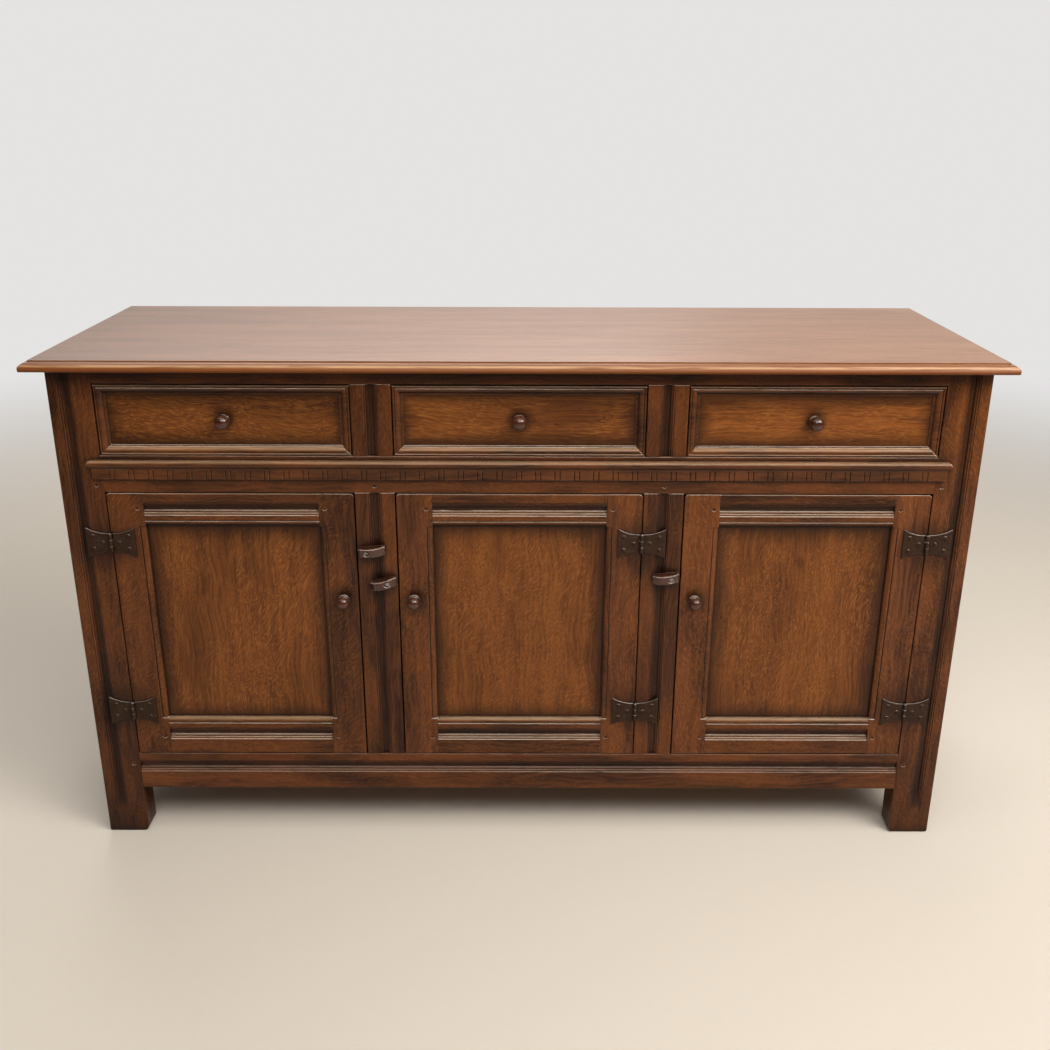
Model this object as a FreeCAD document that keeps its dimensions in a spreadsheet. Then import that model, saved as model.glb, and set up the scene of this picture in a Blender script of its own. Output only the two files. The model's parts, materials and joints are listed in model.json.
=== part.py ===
import FreeCAD, Part
import math
import os

import Sketcher

# Oak dresser base: three drawers over three panelled doors in a pegged frame.
# The frame: +Z up, the front looks along -Y, the origin is under the middle of the top board.
# Every piece is drawn with X from the middle of its bay, Y back from the front face and Z up,
# and its Placement then takes it to its bay.

doc = FreeCAD.newDocument("dresser_base")

# Driving sizes in millimetres: alias, value, meaning
SIZES = (
    ("bay_width", 390.0, "clear width of each drawer and door opening"),
    ("muntin_width", 62.5, "upright between two bays"),
    ("post_width", 67.5, "front post seen from the front"),
    ("post_depth", 42.0, "front post seen from the side"),
    ("foot_height", 89.0, "floor to the bottom rail"),
    ("bottom_rail_height", 68.0, "rail under the doors"),
    ("door_opening_height", 469.0, "bottom rail to waist rail"),
    ("waist_rail_height", 60.0, "rail between doors and drawers"),
    ("drawer_opening_height", 113.0, "waist rail to top rail"),
    ("top_rail_height", 23.0, "rail under the top board"),
    ("top_rail_depth", 38.0, "top rail, laid flat"),
    ("frame_thickness", 22.0, "front rails, muntins and doors"),
    ("body_depth", 458.0, "front face to the back of the posts"),
    ("arris", 1.2, "rounding of worn edges"),
    ("joint_gap", 0.5, "room behind a tenon and round a panel"),
    ("tenon_length", 27.0, "front rail tenons"),
    ("tenon_thickness", 8.0, "tenons of the fixed frame"),
    ("tenon_shoulder", 8.0, "from a rail's edge to its tenon"),
    ("muntin_tenon_length", 18.0, "lower muntin tenons"),
    ("upper_tenon_length", 9.0, "upper muntin tenons"),
    ("foot_outer_round", 6.0, "worn outer corner of a front foot"),
    ("foot_inner_round", 11.0, "worn inner corner of a front foot"),
    ("foot_front_round", 4.0, "worn front edge of a front foot"),
    ("channel_stop", 40.0, "floor to the end of a post's channel"),
    ("channel_runout", 35.0, "length over which a post's channel fades"),
    ("post_strip", 16.5, "flat outside a post's channel"),
    ("channel_lip", 1.3, "step at the edge of the reeded channel"),
    ("reed_width", 3.5, "one reed of the channel"),
    ("reed_fall", 0.8, "slope across one reed"),
    ("reed_step", 0.8, "step between two reeds"),
    ("channel_drop", 1.6, "step from the inner reed to the floor"),
    ("channel_floor", 7.5, "flat floor of the channel"),
    ("bottom_rail_strip", 14.0, "flat above the bottom rail's channel"),
    ("top_thickness", 16.0, "top board"),
    ("top_overhang", 29.0, "top board past the front and the sides"),
    ("top_back_overhang", 6.0, "top board past the back"),
    ("top_edge_width", 13.0, "moulded edge of the top board"),
    ("top_edge_step", 2.5, "step above the moulded edge"),
    ("top_edge_flat", 1.0, "ledge at the foot of that step"),
    ("top_nose_height", 4.0, "underside to the tip of the edge"),
    ("top_nose_round", 2.5, "rounding under the tip"),
    ("top_corner_round", 5.0, "front corners of the top board seen from above"),
    ("moulding_base", 23.0, "waist rail's lower edge to the moulding"),
    ("moulding_lap", 17.5, "moulding over each post"),
    ("band_height", 14.5, "notched band of the waist moulding"),
    ("band_depth", 5.0, "projection of the band"),
    ("cove_height", 5.5, "cove above the band"),
    ("cove_depth", 3.5, "projection of the cove past the band"),
    ("nosing_height", 10.0, "rounded nosing over the cove"),
    ("nosing_back", 1.5, "how far the nosing's top leans back"),
    ("notch_pitch", 30.0, "from one pair of notches to the next"),
    ("notch_pair", 8.0, "between the notches of a pair"),
    ("notch_width", 2.2, "one notch"),
    ("notch_depth", 1.6, "one notch"),
    ("side_inset", 3.0, "side rails behind the faces of the posts"),
    ("side_rail_thickness", 20.0, "side rails"),
    ("side_top_rail", 70.0, "height of a side's top rail"),
    ("side_tenon_length", 22.0, "side rail tenons"),
    ("side_panel_thickness", 8.0, "side panels"),
    ("side_groove", 8.0, "depth of the groove round a side panel"),
    ("back_post_width", 45.0, "back post seen from the back"),
    ("back_post_depth", 42.0, "back post seen from the side"),
    ("back_rail_thickness", 20.0, "back rails"),
    ("back_top_rail", 60.0, "height of the back's top rail"),
    ("back_mid_rail", 45.0, "height of the back rail under the runners"),
    ("back_panel_thickness", 6.0, "back panel"),
    ("back_rebate", 10.0, "width of the rebate for the back panel"),
    ("floor_thickness", 14.0, "cupboard floor boards"),
    ("floor_stop", 6.0, "floor above the bottom rail: it stops the doors"),
    ("cleat", 18.0, "square cleats under the floor"),
    ("floor_gap", 1.0, "between floor boards"),
    ("door_stop_gap", 0.4, "floor's front edge behind the doors and the rail"),
    ("runner_thickness", 20.0, "drawer runners and kickers"),
    ("runner_ledge", 18.0, "runner under a drawer side"),
    ("guide_height", 20.0, "drawer guides above the runners"),
    ("guide_width", 15.0, "guides beside the end drawers"),
    ("drawer_side_gap", 1.5, "drawer beside its opening"),
    ("drawer_top_gap", 2.2, "drawer under its opening's top"),
    ("drawer_run_gap", 0.3, "drawer over its runners"),
    ("drawer_front_thickness", 16.0, "board behind the moulding"),
    ("drawer_room", 22.0, "behind a drawer, in front of the back rails"),
    ("drawer_side_thickness", 10.0, "drawer sides"),
    ("drawer_side_drop", 6.0, "drawer sides below the front's top edge"),
    ("drawer_lap", 9.0, "dovetails of a drawer side in the front"),
    ("dovetail_wide", 11.0, "pin of a drawer's dovetails at its wide end"),
    ("dovetail_narrow", 6.0, "pin of a drawer's dovetails at its narrow end"),
    ("drawer_back_thickness", 10.0, "drawer back"),
    ("drawer_bottom_thickness", 5.0, "drawer bottom"),
    ("drawer_bottom_rise", 10.0, "drawer's lower edge to its bottom"),
    ("drawer_groove", 5.0, "depth of the groove for the bottom"),
    ("strip_width", 15.5, "moulding round a drawer front"),
    ("strip_height", 8.0, "moulding over the drawer's field"),
    ("strip_bead", 3.5, "bead at the outer edge of the moulding"),
    ("strip_bead_rise", 1.6, "rounding of that bead"),
    ("strip_quirk", 1.0, "groove inside the bead"),
    ("strip_quirk_depth", 2.6, "depth of that groove"),
    ("strip_ovolo_drop", 0.8, "ovolo's top below the bead"),
    ("strip_listel", 3.0, "flat at the inner edge of the moulding"),
    ("strip_listel_height", 1.2, "height of that flat"),
    ("strip_step", 0.8, "step from the ovolo to that flat"),
    ("door_hinge_gap", 1.4, "door beside its hinge"),
    ("door_free_gap", 2.0, "door at its free edge"),
    ("door_end_gap", 1.6, "door at top and bottom"),
    ("stile_width", 56.0, "door stiles"),
    ("door_top_rail", 54.5, "door top rail"),
    ("door_bottom_rail", 66.5, "door bottom rail"),
    ("door_tenon_length", 40.0, "door rail tenons"),
    ("door_corner_round", 6.0, "worn top corners of a door"),
    ("panel_recess", 9.0, "door panel behind the door's face"),
    ("panel_thickness", 8.0, "door panel, groove and door tenons"),
    ("panel_groove", 9.0, "depth of the groove round a door panel"),
    ("edge_ovolo_width", 8.0, "moulded inner edge of a door frame"),
    ("edge_ovolo_low", 5.5, "lower end of that edge behind the face"),
    ("edge_ovolo_high", 0.8, "upper end of that edge behind the face"),
    ("edge_quirk", 1.4, "groove beside the moulded edge"),
    ("edge_quirk_depth", 1.4, "that groove below the edge's upper end"),
    ("rail_strip", 9.0, "flat between a door rail's edge and its channel"),
    ("hinge_inset", 82.0, "door's end to the middle of a hinge"),
    ("leaf_length", 38.0, "hinge axis to the leaf's outer edge"),
    ("leaf_outer_height", 50.0, "leaf at its outer edge"),
    ("leaf_waist_height", 31.0, "leaf at its knuckles"),
    ("leaf_thickness", 2.0, "hinge leaf"),
    ("knuckle_radius", 3.0, "hinge barrel"),
    ("knuckle_gap", 0.3, "barrel in front of the wood, and between knuckles"),
    ("leaf_gap", 0.6, "leaf's edge beside the other leaf's knuckle"),
    ("pin_radius", 1.3, "hinge pin"),
    ("pin_clearance", 0.06, "hinge pin in the door's knuckle"),
    ("pin_head", 1.0, "hinge pin past the knuckles"),
    ("nail_outer", 28.0, "hinge axis to the outer nails"),
    ("nail_spread", 22.0, "between the outer nails"),
    ("nail_inner", 13.0, "hinge axis to the inner nail"),
    ("nail_radius", 3.2, "nail head"),
    ("nail_height", 1.8, "nail head"),
    ("nail_shank_radius", 1.2, "nail shank"),
    ("nail_shank", 12.0, "nail shank behind the leaf's face"),
    ("peg_radius", 3.0, "pegs"),
    ("peg_length", 18.0, "pegs behind the face"),
    ("peg_proud", 0.4, "pegs in front of the face"),
    ("peg_inset", 11.0, "shoulder to a peg on the frame"),
    ("bottom_peg_rise", 47.0, "bottom rail's lower edge to its pegs"),
    ("waist_peg_rise", 12.0, "waist rail's lower edge to its pegs"),
    ("door_peg_inset", 9.5, "shoulder to a peg on a door"),
    ("door_top_peg", 24.5, "door's top to its upper pegs"),
    ("door_bottom_peg", 31.5, "door's bottom to its lower pegs"),
    ("knob_inset", 23.5, "door's free edge to its knob"),
    ("knob_height", 286.0, "door's bottom to its knob"),
    ("knob_collar_radius", 8.5, "ring at a knob's seat"),
    ("knob_collar_height", 4.0, "ring at a knob's seat"),
    ("knob_neck_radius", 5.5, "knob neck"),
    ("knob_neck_length", 5.0, "knob neck"),
    ("knob_spigot_radius", 4.5, "knob's spigot in the wood"),
    ("knob_spigot_length", 12.0, "knob's spigot in the wood"),
    ("drawer_knob_radius", 11.8, "drawer knob"),
    ("drawer_knob_back", 7.5, "neck to the widest point of a drawer knob"),
    ("drawer_knob_crown", 11.0, "widest point to the front of a drawer knob"),
    ("door_knob_radius", 10.2, "door knob"),
    ("door_knob_back", 7.0, "neck to the widest point of a door knob"),
    ("door_knob_crown", 9.5, "widest point to the front of a door knob"),
    ("button_reach", 18.0, "door's free edge to a turn-button's screw"),
    ("button_short_arm", 15.0, "screw to the end that faces the door at rest"),
    ("button_long_arm", 29.0, "screw to the end that locks the door"),
    ("button_height", 13.5, "turn-button seen from the front"),
    ("button_corner", 3.5, "rounded corners of a turn-button"),
    ("button_end", 7.0, "turn-button's thickness at its ends"),
    ("button_bow", 11.0, "its bowed front past the ends"),
    ("button_gap", 0.4, "turn-button in front of the face"),
    ("button_bore_gap", 0.3, "round its screw"),
    ("button_seat", 14.0, "wood under the screw's head"),
    ("screw_radius", 2.0, "turn-button screw"),
    ("screw_length", 16.0, "turn-button screw in the muntin"),
    ("screw_head_radius", 4.0, "turn-button screw head"),
    ("screw_head_height", 2.2, "turn-button screw head"),
    ("left_button_drop", 96.0, "waist rail to the left door's turn-button"),
    ("middle_button_drop", 149.0, "waist rail to the middle door's turn-button"),
    ("button_leaf_gap", 1.3, "hinge leaf to the sweep of the right door's turn-button"),
    ("left_button_tilt", 6.0, "degrees, right end up"),
    ("middle_button_tilt", 13.0, "degrees, right end up"),
    ("right_button_tilt", 6.0, "degrees, right end up"),
)

# How many there are of each
REEDS = 4
FLOOR_BOARDS = 3
KNUCKLES = 3
TAILS = 3

# Bulges of arcs: the tangent of a quarter of the arc's angle, positive where it turns left
QUARTER = math.tan(math.pi / 8)
REED = 0.5
OVOLO = 0.33
SOFT = 0.2
BEAD = 0.85
NOSING = 0.6
WAIST = 0.14


class Size:
    """A length with the sheet formula that gives it: sums of sizes write both."""

    def __init__(self, formula, value):
        self.formula = formula
        self.value = value

    def __add__(self, other):
        other = as_size(other)
        return Size("(%s + %s)" % (self.formula, other.formula), self.value + other.value)

    def __sub__(self, other):
        other = as_size(other)
        return Size("(%s - %s)" % (self.formula, other.formula), self.value - other.value)

    def __mul__(self, other):
        other = as_size(other)
        return Size("(%s * %s)" % (self.formula, other.formula), self.value * other.value)

    def __truediv__(self, other):
        other = as_size(other)
        return Size("(%s / %s)" % (self.formula, other.formula), self.value / other.value)

    def __neg__(self):
        return self * -1

    def __radd__(self, other):
        return as_size(other) + self

    def __rsub__(self, other):
        return as_size(other) - self

    def __rmul__(self, other):
        return as_size(other) * self


def as_size(amount):
    """A bare number as a size."""
    if isinstance(amount, Size):
        return amount
    return Size("(%r)" % float(amount), float(amount))


ZERO = as_size(0)


def distance(start, end):
    """The length between two points of an outline."""
    across = as_size(end[0] - start[0])
    along = as_size(end[1] - start[1])
    square = across * across + along * along
    return Size("sqrt(%s)" % square.formula, math.sqrt(square.value))


sheet = doc.addObject("Spreadsheet::Sheet", "Sizes")
layout = doc.addObject("Spreadsheet::Sheet", "Layout")


class Sheet:
    """The driving sizes by name."""


S = Sheet()
for row, (alias, value, meaning) in enumerate(SIZES, start=1):
    sheet.set("A%d" % row, alias)
    sheet.set("B%d" % row, repr(value))
    sheet.set("C%d" % row, meaning)
    sheet.setAlias("B%d" % row, alias)
    setattr(S, alias, Size("Sizes." + alias, value))

layout_rows = []


def derived(alias, amount):
    """Keeps a worked-out place in the layout sheet under a name of its own."""
    layout_rows.append(alias)
    row = len(layout_rows)
    layout.set("A%d" % row, alias)
    layout.set("B%d" % row, "=" + amount.formula)
    layout.setAlias("B%d" % row, alias)
    return Size("Layout." + alias, amount.value)


# Places across the front
bay_pitch = derived("bay_pitch", S.bay_width + S.muntin_width)
post_inside = derived("post_inside", bay_pitch + S.bay_width / 2)
body_half = derived("body_half", post_inside + S.post_width)
muntin_centre = derived("muntin_centre", bay_pitch / 2)
rail_length = derived("rail_length", post_inside * 2)
top_half = derived("top_half", body_half + S.top_overhang)
# Levels above the floor
door_level = derived("door_level", S.foot_height + S.bottom_rail_height)
waist_level = derived("waist_level", door_level + S.door_opening_height)
drawer_level = derived("drawer_level", waist_level + S.waist_rail_height)
top_rail_level = derived("top_rail_level", drawer_level + S.drawer_opening_height)
underside = derived("underside", top_rail_level + S.top_rail_height)
top_level = derived("top_level", underside + S.top_thickness)
floor_level = derived("floor_level", door_level + S.floor_stop)
floor_base = derived("floor_base", floor_level - S.floor_thickness)
# Places front to back, from the front face
top_back = derived("top_back", S.body_depth + S.top_back_overhang)
face_place = derived("face_place", S.top_overhang / 2 - top_back / 2)
back_post_front = derived("back_post_front", S.body_depth - S.back_post_depth)
back_rail_back = derived("back_rail_back", S.body_depth - S.back_panel_thickness)
back_rail_front = derived("back_rail_front", back_rail_back - S.back_rail_thickness)
tenon_front = derived("tenon_front", S.frame_thickness / 2 - S.tenon_thickness / 2)
tenon_back = derived("tenon_back", tenon_front + S.tenon_thickness)
# Channel
channel_width = derived("channel_width", S.reed_width * REEDS + S.channel_floor)
channel_depth = derived("channel_depth", S.channel_lip + S.reed_fall * 2 + S.reed_step + S.channel_drop)
# Sides
side_outside = derived("side_outside", body_half - S.side_inset)
side_inside = derived("side_inside", side_outside - S.side_rail_thickness)
side_panel_in = derived("side_panel_in", side_inside + S.side_rail_thickness / 2 - S.side_panel_thickness / 2)
side_panel_out = derived("side_panel_out", side_panel_in + S.side_panel_thickness)
back_post_inside = derived("back_post_inside", body_half - S.back_post_width)
# Drawers
drawer_width = derived("drawer_width", S.bay_width - S.drawer_side_gap * 2)
drawer_height = derived("drawer_height", S.drawer_opening_height - S.drawer_run_gap - S.drawer_top_gap)
drawer_front_back = derived("drawer_front_back", S.strip_height + S.drawer_front_thickness)
drawer_lap_end = derived("drawer_lap_end", drawer_front_back - S.drawer_lap)
drawer_back = derived("drawer_back", back_rail_front - S.drawer_room)
drawer_inside = derived("drawer_inside", drawer_width / 2 - S.drawer_side_thickness)
drawer_side_top = derived("drawer_side_top", drawer_height - S.drawer_side_drop)
drawer_back_top = derived("drawer_back_top", drawer_side_top - S.drawer_side_drop)
drawer_floor = derived("drawer_floor", S.drawer_bottom_rise + S.drawer_bottom_thickness)
# Doors
door_width = derived("door_width", S.bay_width - S.door_hinge_gap - S.door_free_gap)
door_height = derived("door_height", S.door_opening_height - S.door_end_gap * 2)
door_shift = derived("door_shift", S.door_free_gap / 2 - S.door_hinge_gap / 2)
stile_inside = derived("stile_inside", door_width / 2 - S.stile_width)
panel_back = derived("panel_back", S.panel_recess + S.panel_thickness)
panel_top = derived("panel_top", door_height - S.door_top_rail)
upper_peg_level = derived("upper_peg_level", door_height - S.door_top_peg)
edge_width = derived("edge_width", S.edge_ovolo_width + S.edge_quirk)
# Hinges
hinge_axis = derived("hinge_axis", S.bay_width / 2 - S.door_hinge_gap / 2)
barrel_place = derived("barrel_place", -S.knuckle_radius - S.knuckle_gap)
leaf_start = derived("leaf_start", S.knuckle_radius + S.leaf_gap)
knuckle_room = S.leaf_waist_height - S.knuckle_gap * (KNUCKLES - 1)
knuckle_length = derived("knuckle_length", knuckle_room / KNUCKLES)
upper_hinge = derived("upper_hinge", door_height - S.hinge_inset)
# Turn-buttons: the right one turns just below a leaf of the middle door's hinge
left_button_level = derived("left_button_level", waist_level - S.left_button_drop)
middle_button_level = derived("middle_button_level", waist_level - S.middle_button_drop)
button_sweep = derived("button_sweep", distance((ZERO, ZERO), (S.button_long_arm, S.button_height / 2)))
leaf_base = derived("leaf_base", door_level + S.door_end_gap + upper_hinge - S.leaf_outer_height / 2)
right_button_level = derived("right_button_level", leaf_base - S.button_leaf_gap - button_sweep)
doc.recompute()

subparts = []


def tie(made, name, amount):
    """Binds one property of an object to the sheets."""
    made.setExpression(name, as_size(amount).formula)


def put(made, x, y, z):
    """Binds an object's place."""
    for axis, amount in zip("xyz", (x, y, z)):
        tie(made, "Placement.Base." + axis, amount)


def new_body(label, place):
    """An empty body at its place."""
    body = doc.addObject("PartDesign::Body", label)
    body.Label = label
    put(body, *place)
    return body


def keep(made, label):
    """Lists an object as a sub-part under its file's name."""
    made.Label = label
    subparts.append(made)
    return made


def group(label, members):
    """Keeps separate solids of one kind together as one sub-part."""
    made = doc.addObject("Part::Compound", label)
    made.Links = members
    return keep(made, label)


def block(body, label, low, high, cut=False):
    """Adds a squared piece between two corners to a body, or cuts it out."""
    kind = "PartDesign::SubtractiveBox" if cut else "PartDesign::AdditiveBox"
    made = body.newObject(kind, label)
    for name, start, end in zip(("Length", "Width", "Height"), low, high):
        tie(made, name, end - start)
    put(made, *low)
    return made


def mirrored_block(body, label, low, high, side, cut=False):
    """A block of the right-hand half, or its mirror image on the left."""
    if side > 0:
        return block(body, label, low, high, cut)
    return block(body, label, (-high[0],) + low[1:], (-low[0],) + high[1:], cut)


def sketch(body, label, plane, offset=0):
    """An empty sketch on one of the body's own planes, moved along the plane's normal."""
    made = body.newObject("Sketcher::SketchObject", label)
    support = [feature for feature in body.Origin.OriginFeatures if feature.Role == plane + "_Plane"]
    made.AttachmentSupport = [(support[0], "")]
    made.MapMode = "FlatFace"
    tie(made, "AttachmentOffset.Base.z", offset)
    return made


def arc_between(start, end, bulge):
    """The arc from start to end: its radius is worked out from its chord."""
    bulge = as_size(bulge)
    sign = 1 if bulge.value > 0 else -1
    radius = distance(start, end) * (1 + bulge * bulge) / (bulge * sign * 4)
    first = FreeCAD.Vector(start[0].value, start[1].value, 0)
    last = FreeCAD.Vector(end[0].value, end[1].value, 0)
    chord = last - first
    lift = chord.Length * (1 - bulge.value * bulge.value) / (4 * bulge.value)
    normal = FreeCAD.Vector(-chord.y, chord.x, 0).normalize()
    centre = (first + last) * 0.5 + normal * lift
    begin, finish = (first, last) if sign > 0 else (last, first)
    circle = Part.Circle(centre, FreeCAD.Vector(0, 0, 1), radius.value)
    start_angle = math.atan2(begin.y - centre.y, begin.x - centre.x)
    end_angle = math.atan2(finish.y - centre.y, finish.x - centre.x)
    return Part.ArcOfCircle(circle, start_angle, end_angle), radius


def draw(made, corners):
    """Draws a closed outline: a corner's third value bends the edge that ends there."""
    corners = [(as_size(c[0]), as_size(c[1]), c[2] if len(c) > 2 else 0) for c in corners]
    first = made.GeometryCount
    edges = []
    ends = []
    radii = []
    for index, corner in enumerate(corners):
        following = corners[(index + 1) % len(corners)]
        bulge = as_size(following[2])
        if bulge.value:
            edge, radius = arc_between(corner, following, bulge)
            radii.append((first + index, radius))
            ends.append((1, 2) if bulge.value > 0 else (2, 1))
        else:
            edge = Part.LineSegment(FreeCAD.Vector(corner[0].value, corner[1].value, 0),
                                    FreeCAD.Vector(following[0].value, following[1].value, 0))
            ends.append((1, 2))
        edges.append(edge)
    made.addGeometry(edges, False)
    limits = []
    amounts = []
    for index, corner in enumerate(corners):
        here = first + index
        onward = (index + 1) % len(corners)
        limits.append(Sketcher.Constraint("Coincident", here, ends[index][1],
                                          first + onward, ends[onward][0]))
        amounts.append(None)
        for kind, amount in (("DistanceX", corner[0]), ("DistanceY", corner[1])):
            limits.append(Sketcher.Constraint(kind, -1, 1, here, ends[index][0], amount.value))
            amounts.append(amount)
    for here, radius in radii:
        limits.append(Sketcher.Constraint("Radius", here, radius.value))
        amounts.append(radius)
    start = made.ConstraintCount
    made.addConstraint(limits)
    for index, amount in enumerate(amounts, start=start):
        if amount is not None:
            tie(made, "Constraints[%d]" % index, amount)
    return made


def circles(made, centres, radius):
    """Draws equal circles about the given centres."""
    for x, y in centres:
        x = as_size(x)
        y = as_size(y)
        here = made.GeometryCount
        start = made.ConstraintCount
        centre = FreeCAD.Vector(x.value, y.value, 0)
        made.addGeometry([Part.Circle(centre, FreeCAD.Vector(0, 0, 1), radius.value)], False)
        made.addConstraint([Sketcher.Constraint("DistanceX", -1, 1, here, 3, x.value),
                            Sketcher.Constraint("DistanceY", -1, 1, here, 3, y.value),
                            Sketcher.Constraint("Radius", here, radius.value)])
        for index, amount in enumerate((x, y, radius), start=start):
            tie(made, "Constraints[%d]" % index, amount)
    return made


def pad(body, drawn, length, back=False):
    """Pads a sketch along its normal, or the other way."""
    made = body.newObject("PartDesign::Pad", drawn.Label + "_pad")
    made.Profile = drawn
    made.Reversed = back
    tie(made, "Length", length)
    return made


def pocket(body, drawn, length, forward=False):
    """Cuts a sketch against its normal, or along it."""
    made = body.newObject("PartDesign::Pocket", drawn.Label + "_pocket")
    made.Profile = drawn
    made.Reversed = forward
    tie(made, "Length", length)
    return made


def turn(body, drawn):
    """Revolves a sketch about its vertical axis."""
    made = body.newObject("PartDesign::Revolution", drawn.Label + "_turned")
    made.Profile = drawn
    made.ReferenceAxis = (drawn, ["V_Axis"])
    return made


def drill(body, label, centres, radius, depth):
    """Drills holes from the front face."""
    drawn = circles(sketch(body, label, "XZ"), centres, radius)
    return pocket(body, drawn, depth)


def moved(corners, across, along):
    """An outline moved as a whole."""
    return [(c[0] + across, c[1] + along) + tuple(c[2:]) for c in corners]


def mirrored(corners, side):
    """An outline as it is, or its mirror image on the left."""
    return [(c[0] * side, c[1]) + tuple(bend * side for bend in c[2:]) for c in corners]


def swapped(corners):
    """An outline with its two directions exchanged."""
    return [(c[1], c[0]) + tuple(-bend for bend in c[2:]) for c in corners]


def channel_section():
    """Two reeds, a flat floor and two reeds again, across the channel and into the wood."""
    first = S.channel_lip + S.reed_fall
    second = first + S.reed_step
    third = second + S.reed_fall
    near = S.reed_width
    far = S.reed_width * 2
    return [(ZERO, ZERO), (ZERO, S.channel_lip), (near, first, REED), (near, second), (far, third, REED),
            (far, channel_depth), (channel_width - far, channel_depth), (channel_width - far, third),
            (channel_width - near, second, REED), (channel_width - near, first),
            (channel_width, S.channel_lip, REED), (channel_width, ZERO)]


def bar_section(width, thickness, channel_start=None):
    """A bar across its width and into the wood: worn arrises and, if wanted, a channel in its face."""
    front = [(ZERO, thickness), (ZERO, S.arris), (S.arris, ZERO, QUARTER)]
    if channel_start is not None:
        front += moved(channel_section(), channel_start, ZERO)
    return front + [(width - S.arris, ZERO), (width, S.arris, QUARTER), (width, thickness)]


def edge_section():
    """The moulded inner edge of a door frame, from the frame's edge up to its face."""
    return [(ZERO, S.edge_ovolo_low), (S.edge_ovolo_width, S.edge_ovolo_high, OVOLO),
            (S.edge_ovolo_width, S.edge_ovolo_high + S.edge_quirk_depth),
            (edge_width, S.edge_ovolo_high + S.edge_quirk_depth), (edge_width, ZERO)]


def corner_cut(body, label, plane, corner, inward, radius, offset, length):
    """Rounds one corner of a piece right through: inward holds the two signs that lead into the wood."""
    across, along = inward
    turn_way = QUARTER * across * along
    x, y = corner
    drawn = sketch(body, label, plane, offset)
    out_x = x - radius * across
    out_y = y - radius * along
    draw(drawn, [(out_x, y + radius * along), (x, y + radius * along), (x + radius * across, y, turn_way),
                 (x + radius * across, out_y), (out_x, out_y)])
    return pocket(body, drawn, length)


front = (0, face_place, 0)
over = S.joint_gap


def front_post(side, label):
    """A front post with its channel, its foot and the mortises for rails."""
    body = new_body(label, front)
    channel_start = S.post_width - S.post_strip - channel_width
    section = bar_section(S.post_width, S.post_depth, channel_start)
    plain = bar_section(S.post_width, S.post_depth)
    pad(body, draw(sketch(body, "foot", "XY"), mirrored(moved(plain, post_inside, 0), side)), S.channel_stop)
    shaft = draw(sketch(body, "shaft", "XY", S.channel_stop), mirrored(moved(section, post_inside, 0), side))
    pad(body, shaft, underside - S.channel_stop)
    low = post_inside + channel_start
    slope = sketch(body, "runout", "YZ", low if side > 0 else -low - channel_width)
    pad(body, draw(slope, [(0, S.channel_stop), (channel_depth, S.channel_stop),
                           (channel_depth, S.channel_stop + S.channel_runout)]), channel_width)
    end = post_inside + S.tenon_length + over
    for name, low, high in (("bottom", S.foot_height, door_level), ("waist", waist_level, drawer_level)):
        mirrored_block(body, name + "_mortise", (post_inside, tenon_front, low + S.tenon_shoulder),
                       (end, tenon_back, high - S.tenon_shoulder), side, cut=True)
    mirrored_block(body, "top_mortise", (post_inside, S.tenon_shoulder, top_rail_tenon[0]),
                   (end, S.top_rail_depth - S.tenon_shoulder, top_rail_tenon[1]), side, cut=True)
    side_mortises(body, side, S.post_depth - S.side_tenon_length - over, S.post_depth,
                  S.post_depth - S.side_groove, S.post_depth)
    hole = (post_inside + S.peg_inset) * side
    drill(body, "peg_holes", [(hole, level) for level in frame_peg_levels], S.peg_radius, S.peg_length)
    drill(body, "nail_holes", post_nails(side), S.nail_shank_radius, nail_reach)
    corner_cut(body, "outer_round", "XZ", (body_half * side, ZERO), (-side, 1),
               S.foot_outer_round, 0, S.post_depth)
    corner_cut(body, "inner_round", "XZ", (post_inside * side, ZERO), (side, 1),
               S.foot_inner_round, 0, S.post_depth)
    start = body_half if side > 0 else -post_inside
    corner_cut(body, "front_round", "YZ", (ZERO, ZERO), (1, 1), S.foot_front_round, start, S.post_width)
    return keep(body, label)


def side_mortises(body, side, low, high, groove_low, groove_high):
    """The mortises and the groove for one side frame, between two depths of a post."""
    tops = ((S.foot_height, S.bottom_rail_height), (underside - S.side_top_rail, S.side_top_rail))
    for name, (base, height) in zip(("side_low", "side_high"), tops):
        mirrored_block(body, name, (side_panel_in, low, base + S.tenon_shoulder),
                       (side_panel_out, high, base + height - S.tenon_shoulder), side, cut=True)
    mirrored_block(body, "side_groove", (side_panel_in, groove_low, door_level - S.side_groove),
                   (side_panel_out, groove_high, underside - S.side_top_rail + S.side_groove), side, cut=True)


top_rail_tenon = (top_rail_level + S.top_rail_height / 2 - S.tenon_thickness / 2,
                  top_rail_level + S.top_rail_height / 2 + S.tenon_thickness / 2)
frame_peg_levels = (S.foot_height + S.bottom_peg_rise, waist_level + S.waist_peg_rise)
nail_reach = S.nail_shank - S.leaf_thickness
hinge_levels = (door_level + S.door_end_gap + S.hinge_inset, door_level + S.door_end_gap + upper_hinge)
BAYS = (("left", -1, -1), ("middle", 0, 1), ("right", 1, 1))


def leaf_nails(axis, direction, level):
    """The three nails of one leaf, which lies along the given direction from the hinge axis."""
    outer = axis + S.nail_outer * direction
    return [(outer, level + S.nail_spread / 2), (outer, level - S.nail_spread / 2),
            (axis + S.nail_inner * direction, level)]


def hinge_place(bay, hand):
    """Where a door's hinge axis lies across the front."""
    return bay_pitch * bay + hinge_axis * hand


def post_nails(side):
    """The nails of the two leaves on one front post."""
    axis = hinge_place(side, side)
    return [nail for level in hinge_levels for nail in leaf_nails(axis, side, level)]


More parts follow.
